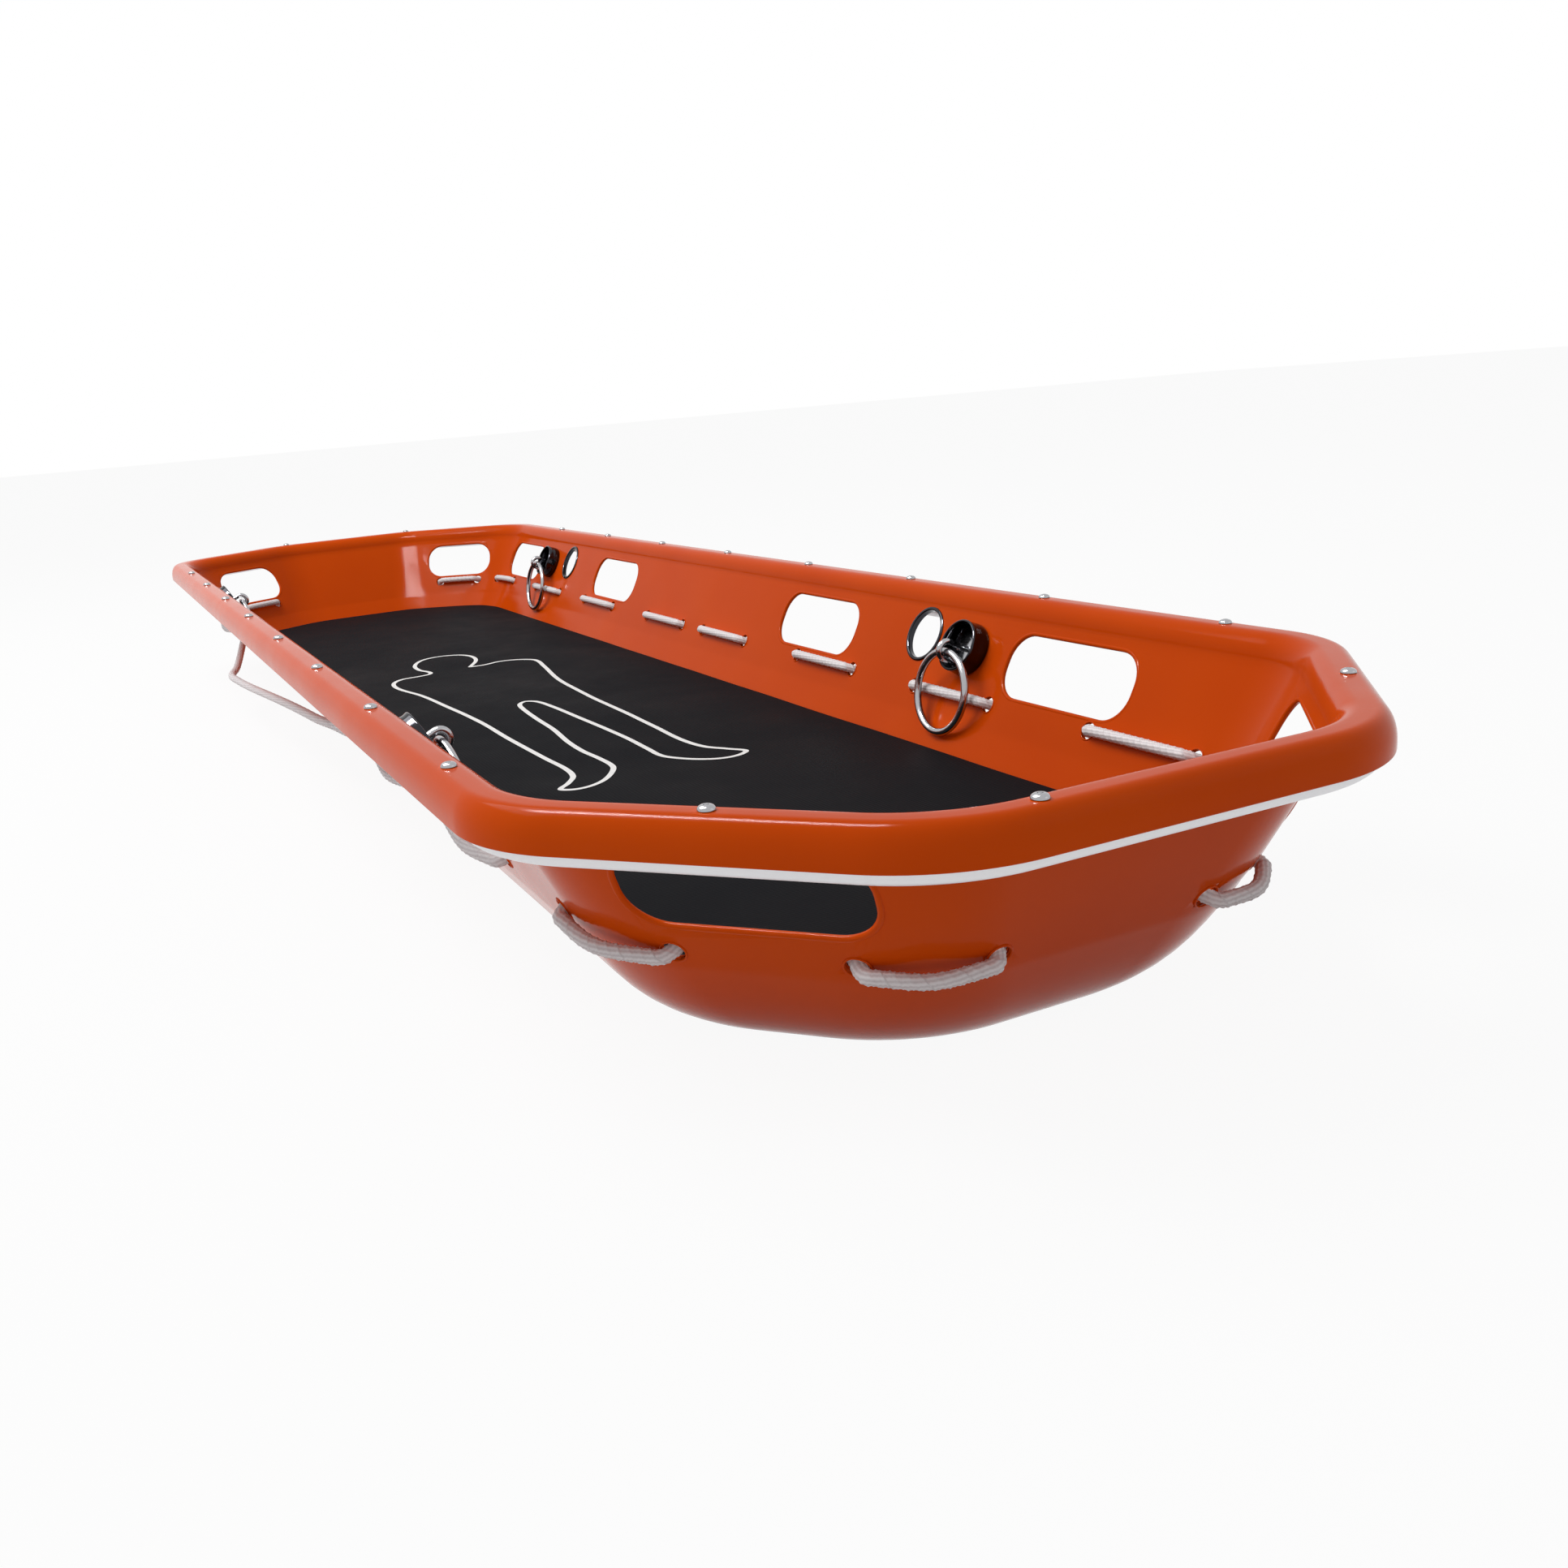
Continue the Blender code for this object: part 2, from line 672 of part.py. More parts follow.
def build_tray(group, cutters, finish):
    bm = bmesh.new()
    rings = [outline(inset, radius, level) for inset, level, radius in tray_profile()]
    made = loft(bm, rings)
    bm.faces.new(made[0])
    bmesh.ops.recalc_face_normals(bm, faces=bm.faces)
    floor = min(bm.faces, key=lambda face: face.calc_center_median().z)
    if floor.normal.z < 0:
        bmesh.ops.reverse_faces(bm, faces=bm.faces)
    tray = place("tray_shell", mesh_from(bm, "tray_shell"), group, finish)
    solid = tray.modifiers.new("sheet", "SOLIDIFY")
    solid.thickness = SHELL_WALL
    solid.offset = -1
    solid.use_even_offset = True
    bm = bmesh.new()
    for edge, along, length in slot_places():
        slab = slab_mesh("slot", rounded_slot(length, SLOT_HEIGHT, SLOT_CORNER_RADIUS), CUT_REACH)
        slab.transform(wall_frame(edge, along, SLOT_LEVEL))
        bm.from_mesh(slab)
        bpy.data.meshes.remove(slab)
    cut(tray, mesh_from(bm, "hand_slot_cutter"), cutters)
    eyelet = rod_mesh("eyelet", EYELET_BORE_RADIUS + EYELET_WALL + HOLE_GAP, -CUT_REACH, CUT_REACH, 24)
    frames = [frame for _, frame in side_frames(EYELET_OFFSET, EYELET_LEVEL)]
    cut(tray, copies("eyelet_hole_cutter", eyelet, frames), cutters)
    line = WallLine()
    frames = [line.frame(station) for lace in laces(line) for station in lace]
    lace = rod_mesh("lace", ROPE_HOLE_RADIUS, -CUT_REACH, CUT_REACH, 8)
    cut(tray, copies("rope_hole_cutter", lace, frames), cutters)
    fixing = rod_mesh("fixing", FIXING_RADIUS + HOLE_GAP, -CUT_REACH, CUT_REACH, 8)
    frames = []
    for _, frame in side_frames(FITTING_OFFSET, FITTING_LEVEL):
        frames += [frame @ spot for spot in fixing_spots()]
    cut(tray, copies("fixing_hole_cutter", fixing, frames), cutters)
    bore = RIVET_SHOULDER_RADIUS + HOLE_GAP
    rivet = rod_mesh("rivet", bore, HEIGHT - CUT_REACH, HEIGHT + CUT_REACH, 6)
    cut(tray, copies("rivet_hole_cutter", rivet, rivet_frames()), cutters)
    return tray


def frame_path(foot_end):
    """Centre line of one half of the frame, from joint to joint."""
    corners = inset_corners(TUBE_INSET)
    y = HALF_WIDTH - TUBE_INSET
    order = (0, 1, 2, 3) if foot_end else (4, 5, 6, 7)
    joint = FRAME_JOINT_X + (SEAT_GAP / 2 if foot_end else -SEAT_GAP / 2)
    side = -1 if foot_end else 1
    points = [Vector((joint, side * y, TUBE_LEVEL))]
    for index in order:
        arc = corner_arc(corners, index, RIM_CORNER_RADIUS - TUBE_INSET)
        points += [Vector((p.x, p.y, TUBE_LEVEL)) for p in arc]
    points.append(Vector((joint, -side * y, TUBE_LEVEL)))
    return points


def build_frame(group, cutters, finish):
    hole_low = TUBE_LEVEL + TUBE_RADIUS - 2 * TUBE_WALL
    for name, foot_end in (("frame_tube_foot", True), ("frame_tube_head", False)):
        helper = curve_object(name, frame_path(foot_end), TUBE_RADIUS, TUBE_SIDES // 2 - 2, caps=False)
        tube = place(name, baked(helper, name), group, finish)
        wall = tube.modifiers.new("tube_wall", "SOLIDIFY")
        wall.thickness = TUBE_WALL
        wall.offset = -1
        wall.use_even_offset = True
        drill = rod_mesh("drill", RIVET_TAIL_RADIUS + HOLE_GAP, hole_low, HEIGHT, 6)
        cut(tube, copies(name + "_rivet_cutter", drill, rivet_frames()), cutters)
    # The tube has flat facets, so the plug fits inside the circle that touches them.
    radius = TUBE_RADIUS * math.cos(math.pi / TUBE_SIDES) - TUBE_WALL - SEAT_GAP
    for name, side in (("frame_splice_left", -1), ("frame_splice_right", 1)):
        plug = rod_mesh(name, radius, -SPLICE_LENGTH / 2, SPLICE_LENGTH / 2, TUBE_SIDES)
        y = side * (HALF_WIDTH - TUBE_INSET)
        matrix = Matrix.Translation((FRAME_JOINT_X, y, TUBE_LEVEL)) @ Matrix.Rotation(math.pi / 2, 4, "Y")
        place(name, plug, group, finish, matrix)


def build_rivets(group, finish):
    """Domed rivets: head on the lip, shoulder down to the tube, tail inside the tube."""
    head = HEIGHT + SEAT_GAP
    seat = TUBE_LEVEL + TUBE_RADIUS + SEAT_GAP
    tail = seat - RIVET_TAIL_LENGTH
    profile = [
        (0, head + RIVET_HEAD_HEIGHT),
        (0.7 * RIVET_HEAD_RADIUS, head + 0.72 * RIVET_HEAD_HEIGHT),
        (RIVET_HEAD_RADIUS, head),
        (RIVET_SHOULDER_RADIUS, head),
        (RIVET_SHOULDER_RADIUS, seat),
        (RIVET_TAIL_RADIUS, seat),
        (RIVET_TAIL_RADIUS, tail),
        (0, tail),
    ]
    rivet = turned_mesh("rim_rivet", profile, 6)
    for name, points in rivet_points().items():
        for number, (x, y) in enumerate(points, 1):
            place(f"rim_rivet_{name}_{number}", rivet, group, finish, Matrix.Translation((x, y, 0)))


def build_rope(group, finish):
    line = WallLine()
    rope = curve_object("grab_rope", rope_route(line), ROPE_RADIUS, 2)
    place("grab_rope", baked(rope, "grab_rope"), group, finish)
    half = KNOT_LENGTH / 2
    waist = 0.72 * KNOT_RADIUS
    turns = 3
    profile = [(0, half)]
    for turn in range(turns):
        high = half - KNOT_LENGTH * turn / turns
        profile += [(waist, high), (KNOT_RADIUS, high - KNOT_LENGTH / turns / 2)]
    profile += [(waist, -half), (0, -half)]
    knot = turned_mesh("rope_knot", profile, 10)
    lift = -SHELL_WALL - KNOT_RADIUS - ROPE_GAP
    along = Matrix.Rotation(math.pi / 2, 4, "Y")
    place("rope_knot", knot, group, finish, line.frame(0) @ Matrix.Translation((0, 0, lift)) @ along)


def build_eyelets(group, finish):
    """Metal liners of the round holes, flanged on both faces of the wall."""
    outer = EYELET_BORE_RADIUS + EYELET_WALL
    flange = outer + EYELET_FLANGE
    top = SEAT_GAP + EYELET_WALL
    under = -SHELL_WALL - SEAT_GAP
    profile = [
        (EYELET_BORE_RADIUS, top),
        (flange, SEAT_GAP),
        (outer, SEAT_GAP),
        (outer, under),
        (flange, under),
        (EYELET_BORE_RADIUS, under - EYELET_WALL),
    ]
    eyelet = turned_mesh("eyelet", profile, 20, closed=True)
    for name, frame in side_frames(EYELET_OFFSET, EYELET_LEVEL):
        place("eyelet_" + name, eyelet, group, finish, frame)


def cup_mesh():
    rim = CUP_MOUTH_RADIUS
    base = CUP_BASE_RADIUS
    low = SEAT_GAP
    top = CUP_DEPTH
    profile = [
        (0, low + CUP_WALL),
        (base - CUP_WALL, low + CUP_WALL),
        (rim - 2 * CUP_WALL, top - 2 * CUP_WALL),
        (rim - CUP_WALL, top - 0.3 * CUP_WALL),
        (rim, top),
        (rim + 0.5 * CUP_WALL, top - 0.8 * CUP_WALL),
        (rim - 0.6 * CUP_WALL, top - 2 * CUP_WALL),
        (base + 0.3 * CUP_WALL, low + CUP_WALL),
        (base, low),
        (0, low),
    ]
    return turned_mesh("cup", profile, 16)


def eye_foot_level():
    return SEAT_GAP + CUP_WALL + SEAT_GAP


def eye_mesh(group):
    """Round foot with a wire staple that carries the ring."""
    low = eye_foot_level()
    foot = rod_mesh("eye_foot", EYE_FOOT_RADIUS, low, low + EYE_FOOT_THICKNESS, 16)
    holder = place("eye_foot", foot, group, None)
    loop = EYE_INNER_RADIUS + EYE_WIRE_RADIUS
    centre = -EYE_AXIS_DROP
    points = [Vector((0, centre - loop, low + 0.4 * EYE_FOOT_THICKNESS))]
    for step in range(9):
        angle = math.pi - math.pi * step / 8
        y = centre + loop * math.cos(angle)
        points.append(Vector((0, y, EYE_AXIS_HEIGHT + loop * math.sin(angle))))
    points.append(Vector((0, centre + loop, low + 0.4 * EYE_FOOT_THICKNESS)))
    staple = baked(curve_object("staple", points, EYE_WIRE_RADIUS, 1), "staple")
    helper = place("staple_helper", staple, group, None)
    union = holder.modifiers.new("staple", "BOOLEAN")
    union.operation = "UNION"
    union.object = helper
    mesh = baked(holder, "eye")
    bpy.data.objects.remove(helper)
    return mesh


def drilled(mesh, group, depth):
    """The mesh with the two fixing holes through it."""
    holder = place("drilled_helper", mesh, group, None)
    drill = rod_mesh("drill", FIXING_RADIUS + HOLE_GAP, -depth, depth, 8)
    cutter = place("drill_helper", copies("drill_pair", drill, fixing_spots()), group, None)
    holes = holder.modifiers.new("fixing_holes", "BOOLEAN")
    holes.operation = "DIFFERENCE"
    holes.object = cutter
    made = baked(holder, mesh.name)
    bpy.data.objects.remove(cutter)
    return made


def build_fittings(group, cutters, steel, dark):
    cup = drilled(cup_mesh(), cutters, CUP_DEPTH)
    eye = drilled(eye_mesh(cutters), cutters, CUP_DEPTH)
    head_level = eye_foot_level() + EYE_FOOT_THICKNESS + SEAT_GAP
    plate_top = -SHELL_WALL - SEAT_GAP
    plate_low = plate_top - BACKING_THICKNESS
    tail = plate_low - SEAT_GAP
    profile = [
        (0, head_level + FIXING_HEAD_HEIGHT),
        (0.6 * FIXING_HEAD_RADIUS, head_level + 0.8 * FIXING_HEAD_HEIGHT),
        (FIXING_HEAD_RADIUS, head_level + 0.2 * FIXING_HEAD_HEIGHT),
        (FIXING_HEAD_RADIUS, head_level),
        (FIXING_RADIUS, head_level),
        (FIXING_RADIUS, tail),
        (FIXING_HEAD_RADIUS, tail),
        (0.7 * FIXING_HEAD_RADIUS, tail - 0.7 * FIXING_HEAD_HEIGHT),
        (0, tail - 0.7 * FIXING_HEAD_HEIGHT),
    ]
    rivet = turned_mesh("ring_rivet", profile, 6)
    plate = drilled(rod_mesh("backing", BACKING_RADIUS, plate_low, plate_top, 16), cutters, CUP_DEPTH)
    bpy.ops.mesh.primitive_torus_add(
        major_radius=RING_RADIUS, minor_radius=RING_WIRE_RADIUS,
        major_segments=24, minor_segments=6, location=(0, 0, 0),
    )
    torus = bpy.context.object
    ring = torus.data
    ring.transform(Matrix.Translation((0, -RING_RADIUS, 0)))
    bpy.data.objects.remove(torus)
    lean = Matrix.Rotation(math.radians(RING_REST_ANGLE), 4, "X")
    for name, frame in side_frames(FITTING_OFFSET, FITTING_LEVEL):
        place("ring_cup_" + name, cup, group, dark, frame)
        place("ring_eye_" + name, eye, group, steel, frame)
        place("ring_backing_plate_" + name, plate, group, steel, frame)
        for letter, spot in zip("ab", fixing_spots()):
            place(f"ring_rivet_{name}_{letter}", rivet, group, steel, frame @ spot)
        axis = frame @ Matrix.Translation((0, -RING_AXIS_DROP, EYE_AXIS_HEIGHT))
        place("lifting_ring_" + name, ring, group, steel, axis @ lean)


def tray_inset(level):
    """Inset of the tray's inside at a level below the lip."""
    profile = tray_profile()
    for (low_inset, low, _), (high_inset, high, _) in zip(profile, profile[1:]):
        if low <= level <= high:
            return low_inset + (high_inset - low_inset) * (level - low) / (high - low)
    return profile[0][0]


def build_pad(group, finish):
    """Mattress that fills the tray's floor, with a rolled edge and a slight crown."""
    side_top = PAD_TOP - PAD_CROWN - PAD_EDGE_RADIUS
    profile = [(FLOOR_INSET, SHELL_WALL + SEAT_GAP)]
    for inset, level, _ in tray_profile()[1:]:
        if level < side_top - PAD_EDGE_RADIUS:
            profile.append((inset + PAD_GAP, level + SEAT_GAP))
    edge = tray_inset(side_top) + PAD_GAP
    profile.append((edge, side_top))
    for angle in (35, 70):
        turn = math.radians(angle)
        rise = PAD_EDGE_RADIUS * math.sin(turn)
        profile.append((edge + PAD_EDGE_RADIUS * (1 - math.cos(turn)), side_top + rise))
    shoulder = edge + 2 * PAD_EDGE_RADIUS
    for share, rise in ((0.0, 0.1), (0.3, 0.7), (0.75, 1.0)):
        inset = shoulder + (HALF_WIDTH - shoulder) * share
        profile.append((inset, PAD_TOP - PAD_CROWN * (1 - rise)))
    bm = bmesh.new()
    made = loft(bm, [outline(inset, BILGE_CORNER_RADIUS, level) for inset, level in profile])
    bm.faces.new(made[0])
    bm.faces.new(made[-1])
    bmesh.ops.recalc_face_normals(bm, faces=bm.faces)
    place("mattress", mesh_from(bm, "mattress"), group, finish)


def main():
    clear_scene()
    group = collection_for("basket_stretcher", hidden=False)
    cutters = collection_for("cutters", hidden=True)
    orange = material("orange_polyethylene", (0.62, 0.10, 0.02), 0.28)
    alloy = material("aluminium_tube", (0.72, 0.73, 0.75), 0.35, 1.0)
    steel = material("stainless_steel", (0.55, 0.55, 0.56), 0.22, 1.0)
    dark = material("dark_chrome", (0.10, 0.10, 0.11), 0.20, 1.0)
    cord = material("white_rope", (0.80, 0.74, 0.72), 0.80)
    cover = material("black_mattress_cover", (0.022, 0.022, 0.024), 0.70)
    build_tray(group, cutters, orange)
    build_frame(group, cutters, alloy)
    build_rivets(group, steel)
    build_rope(group, cord)
    build_eyelets(group, steel)
    build_fittings(group, cutters, steel, dark)
    build_pad(group, cover)


main()
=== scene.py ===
"""Looks of a basket stretcher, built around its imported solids.

Metres, +Z up, +X towards the foot end. Left is -Y and right is +Y, as the person lies.
"""

import logging
import math
from collections.abc import Iterable
from dataclasses import dataclass, field
from enum import Enum

import bmesh
import bpy
from bpy.types import Material, Mesh, Node, NodeSocket, NodeTree, Object
from mathutils import Matrix, Vector, noise


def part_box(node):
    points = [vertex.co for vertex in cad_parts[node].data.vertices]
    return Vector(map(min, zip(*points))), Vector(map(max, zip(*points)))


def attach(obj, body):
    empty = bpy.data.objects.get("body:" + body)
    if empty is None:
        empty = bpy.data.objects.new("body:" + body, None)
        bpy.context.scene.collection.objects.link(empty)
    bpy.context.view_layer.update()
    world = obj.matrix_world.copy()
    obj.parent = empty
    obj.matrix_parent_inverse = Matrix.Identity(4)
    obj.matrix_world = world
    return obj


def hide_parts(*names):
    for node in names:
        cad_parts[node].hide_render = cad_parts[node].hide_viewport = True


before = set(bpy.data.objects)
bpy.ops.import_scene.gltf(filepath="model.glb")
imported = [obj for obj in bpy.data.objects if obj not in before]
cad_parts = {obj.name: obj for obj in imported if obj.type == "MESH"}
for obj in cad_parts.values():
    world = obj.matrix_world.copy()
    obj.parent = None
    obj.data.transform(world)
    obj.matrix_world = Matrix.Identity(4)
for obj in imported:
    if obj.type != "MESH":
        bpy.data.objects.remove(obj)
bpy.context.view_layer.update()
# Faces that meet at more than this are shaded with an edge between them.
SHARP_ANGLE = math.radians(42)
WHITE = (1, 1, 1, 1)
log = logging.getLogger("stretcher")

Pair = tuple[float, float]
Triple = tuple[float, float, float]


class Side(Enum):
    """Long sides of the tray, by the sign of their Y."""

    LEFT = -1
    RIGHT = 1


class End(Enum):
    """Ends of the tray, by the sign of their X."""

    HEAD = -1
    FOOT = 1


# Shared small tools


def linear(hex_colour: str) -> tuple[float, float, float, float]:
    """Turns an sRGB hex colour into a linear RGBA value.

    Args:
        hex_colour: Six hex digits, such as "C4410F".

    Returns:
        The linear colour with an alpha of 1.
    """
    parts = [int(hex_colour[i : i + 2], 16) / 255 for i in (0, 2, 4)]
    lit = [c / 12.92 if c <= 0.04045 else ((c + 0.055) / 1.055) ** 2.4 for c in parts]
    return (lit[0], lit[1], lit[2], 1.0)


def held(share: float) -> float:
    """A share that is held between 0 and 1."""
    return max(0.0, min(1.0, share))


def bow(middle: Pair, reach: float, rise: float, angles: Iterable[float]) -> list[Pair]:
    """Points of an elliptic arc.

    Args:
        middle: Middle of the ellipse.
        reach: Its half-width.
        rise: Its half-height.
        angles: Angle of each point in degrees.

    Returns:
        The points in order.
    """
    turns = [math.radians(angle) for angle in angles]
    return [(middle[0] + reach * math.cos(t), middle[1] + rise * math.sin(t)) for t in turns]


def circle(radius: float, steps: int, level: float) -> list[Vector]:
    """Points of a circle about the Z axis."""
    turns = [math.tau * step / steps for step in range(steps)]
    return [Vector((radius * math.cos(t), radius * math.sin(t), level)) for t in turns]


def through(points: list[Vector], steps: int) -> list[Vector]:
    """A smooth curve through the points.

    Args:
        points: Points in order.
        steps: Steps between two neighbouring points.

    Returns:
        Points of the curve, the given ones included.
    """
    made = []
    for index in range(len(points) - 1):
        p0 = points[max(index - 1, 0)]
        p1 = points[index]
        p2 = points[index + 1]
        p3 = points[min(index + 2, len(points) - 1)]
        d1 = max((p2 - p1).length, 1e-6)
        t1 = (p2 - p0) * (d1 / max((p1 - p0).length + d1, 1e-6))
        t2 = (p3 - p1) * (d1 / max((p3 - p2).length + d1, 1e-6))
        for step in range(steps):
            u = step / steps
            a = 2 * u**3 - 3 * u**2 + 1
            b = u**3 - 2 * u**2 + u
            c = 3 * u**2 - 2 * u**3
            d = u**3 - u**2
            made.append(p1 * a + t1 * b + p2 * c + t2 * d)
    made.append(points[-1].copy())
    return made


def new_object(name: str, mesh: Mesh, material: Material | None = None) -> Object:
    """Links a new object with the mesh and, where given, its one material."""
    made = bpy.data.objects.new(name, mesh)
    bpy.context.scene.collection.objects.link(made)
    if material is not None:
        mesh.materials.clear()
        mesh.materials.append(material)
    return made


def placed(name: str, mesh: Mesh, place: Matrix, material: Material) -> Object:
    """Links a new object whose mesh is moved to its place."""
    mesh.transform(place)
    return new_object(name, mesh, material)


def kept(bm: bmesh.types.BMesh, mesh: Mesh, sharp: float | None = None) -> Mesh:
    """Writes an edit mesh into a mesh, shades it smooth and frees the edit mesh.

    Args:
        bm: The edit mesh.
        mesh: The mesh that takes its geometry.
        sharp: Angle past which an edge stays sharp, or None for none.

    Returns:
        The same mesh.
    """
    bm.to_mesh(mesh)
    bm.free()
    mesh.shade_smooth()
    if sharp is not None:
        mesh.set_sharp_from_angle(angle=sharp)
    return mesh


def quads(bm: bmesh.types.BMesh, rings: list[list[bmesh.types.BMVert]], wrap: bool) -> None:
    """Joins rings of vertices of equal length with quads, each to the next."""
    count = len(rings[0])
    for lower, upper in zip(rings, rings[1:]):
        for index in range(count if wrap else count - 1):
            after = (index + 1) % count
            bm.faces.new((lower[index], lower[after], upper[after], upper[index]))


def grid_mesh(name: str, rings: list[list[Vector]], wrap: bool = True, caps: bool = False) -> Mesh:
    """Joins rings of equal length with quads.

    Args:
        name: Name of the mesh.
        rings: Rings of points, in order.
        wrap: Whether each ring closes on itself.
        caps: Whether the first and last ring are filled.

    Returns:
        The mesh, with its faces turned the same way.
    """
    bm = bmesh.new()
    made = [[bm.verts.new(point) for point in ring] for ring in rings]
    quads(bm, made, wrap)
    if caps:
        bm.faces.new(made[0])
        bm.faces.new(made[-1])
    bmesh.ops.recalc_face_normals(bm, faces=bm.faces)
    return kept(bm, bpy.data.meshes.new(name))


def turned(name: str, profile: list[Pair], steps: int) -> Mesh:
    """Turns a closed or axis-to-axis profile of (radius, height) points about Z.

    Args:
        name: Name of the mesh.
        profile: Points in order; it closes on itself unless both ends lie on the axis.
        steps: Number of steps round the axis.

    Returns:
        A closed mesh with its faces pointing out.
    """
    rings = []
    for step in range(steps):
        turn = math.tau * step / steps
        rings.append([Vector((r * math.cos(turn), r * math.sin(turn), h)) for r, h in profile])
    on_axis = profile[0][0] == 0 and profile[-1][0] == 0
    mesh = grid_mesh(name, rings + rings[:1], wrap=not on_axis)
    bm = bmesh.new()
    bm.from_mesh(mesh)
    bmesh.ops.remove_doubles(bm, verts=bm.verts, dist=1e-6)
    bmesh.ops.dissolve_degenerate(bm, edges=bm.edges, dist=1e-7)
    bmesh.ops.recalc_face_normals(bm, faces=bm.faces)
    return kept(bm, mesh, SHARP_ANGLE)


def joined(name: str, parts: list[tuple[Mesh, Matrix]]) -> Mesh:
    """Puts copies of meshes at their places into one mesh.

    Args:
        name: Name of the new mesh.
        parts: Mesh and place of each copy.

    Returns:
        The joined mesh.
    """
    bm = bmesh.new()
    for mesh, matrix in parts:
        copy = mesh.copy()
        copy.transform(matrix)
        bm.from_mesh(copy)
        bpy.data.meshes.remove(copy)
    return kept(bm, bpy.data.meshes.new(name), SHARP_ANGLE)


def path_mesh(name: str, paths: list[list[Vector]], closed: bool) -> Mesh:
    """Edges along each path, for a node tree that sweeps them."""
    points: list[Vector] = []
    edges: list[tuple[int, int]] = []
    for path in paths:
        first = len(points)
        points += path
        edges += [(first + i, first + i + 1) for i in range(len(path) - 1)]
        if closed:
            edges.append((len(points) - 1, first))
    mesh = bpy.data.meshes.new(name)
    mesh.from_pydata(points, edges, [])
    return mesh


class Graph:
    """A node tree, with short calls that add nodes to it."""

    def __init__(self, tree: NodeTree) -> None:
        """Keeps the tree.

        Args:
            tree: Node tree that takes the nodes.
        """
        self.tree = tree

    def feed(self, node: Node, inputs: dict) -> None:
        """Sets a node's inputs.

        Args:
            node: Node that takes them.
            inputs: Socket name or index to a value, or to an output socket that is linked to it.
        """
        for key, value in inputs.items():
            socket = node.inputs[key]
            if isinstance(value, NodeSocket):
                self.tree.links.new(value, socket)
            else:
                socket.default_value = value

    def add(self, kind: str, inputs: dict | None = None, **settings: object) -> Node:
        """Adds a node with its settings, values and links.

        Args:
            kind: Blender's type name of the node.
            inputs: Socket name or index to a value or an output socket.
            **settings: Properties of the node, which decide the sockets that it has.

        Returns:
            The new node.
        """
        made = self.tree.nodes.new(kind)
        for name, value in settings.items():
            setattr(made, name, value)
        self.feed(made, inputs or {})
        return made

    def out(
        self, kind: str, inputs: dict | None = None, socket: str | int = 0, **settings: object
    ) -> NodeSocket:
        """Adds a node and gives one of its outputs.

        Args:
            kind: Blender's type name of the node.
            inputs: Socket name or index to a value or an output socket.
            socket: Name or index of the wanted output.
            **settings: Properties of the node.

        Returns:
            The wanted output.
        """
        return self.add(kind, inputs, **settings).outputs[socket]

    def calc(self, operation: str, *values: NodeSocket | float) -> NodeSocket:
        """Adds a math node and gives its result."""
        return self.out("ShaderNodeMath", dict(enumerate(values)), operation=operation)


# Node trees that sweep and repeat


class GrowTree(Graph):
    """Geometry nodes that grow a piece from points and edges and give it a material."""

    def __init__(self, name: str, inputs: dict[str, str]) -> None:
        """Makes the tree and its sockets.

        Args:
            name: Name of the tree.
            inputs: Socket type of each input besides the geometry and the material.
        """
        super().__init__(bpy.data.node_groups.new(name, "GeometryNodeTree"))
        face = self.tree.interface
        for label, kind in {"Geometry": "Geometry", **inputs, "Material": "Material"}.items():
            face.new_socket(label, in_out="INPUT", socket_type="NodeSocket" + kind)
        face.new_socket("Geometry", in_out="OUTPUT", socket_type="NodeSocketGeometry")
        self.given = self.add("NodeGroupInput").outputs

    def swept(self, curve: NodeSocket, profile: NodeSocket) -> NodeSocket:
        """Sweeps a profile along a curve, with closed ends and smooth shading."""
        values = {"Curve": curve, "Profile Curve": profile, "Fill Caps": True}
        return self.out("GeometryNodeSetShadeSmooth", {0: self.out("GeometryNodeCurveToMesh", values)})

    def close(self, made: NodeSocket) -> None:
        """Gives the piece its material and ends the tree."""
        real = self.out("GeometryNodeRealizeInstances", {0: made})
        values = {"Geometry": real, "Material": self.given["Material"]}
        self.add("NodeGroupOutput", {0: self.out("GeometryNodeSetMaterial", values)})

    def grow(
        self, name: str, paths: list[list[Vector]], values: dict[str, object], closed: bool = False
    ) -> Object:
        """Runs the tree on paths and keeps its result as a plain mesh.

        Args:
            name: Name of the object made.
            paths: Points of each path.
            values: Name of each of the tree's inputs to its value.
            closed: Whether each path closes on itself.

        Returns:
            An object with the evaluated mesh and no modifier.
        """
        seed = new_object(name + "_start", path_mesh(name + "_paths", paths, closed))
        modifier = seed.modifiers.new("grow", "NODES")
        sockets = {i.name: i.identifier for i in self.tree.interface.items_tree if i.in_out == "INPUT"}
        modifier.node_group = self.tree
        for key, value in values.items():
            modifier[sockets[key]] = value
        graph = bpy.context.evaluated_depsgraph_get()
        mesh = bpy.data.meshes.new_from_object(seed.evaluated_get(graph))
        mesh.name = name
        bpy.data.objects.remove(seed)
        return new_object(name, mesh)


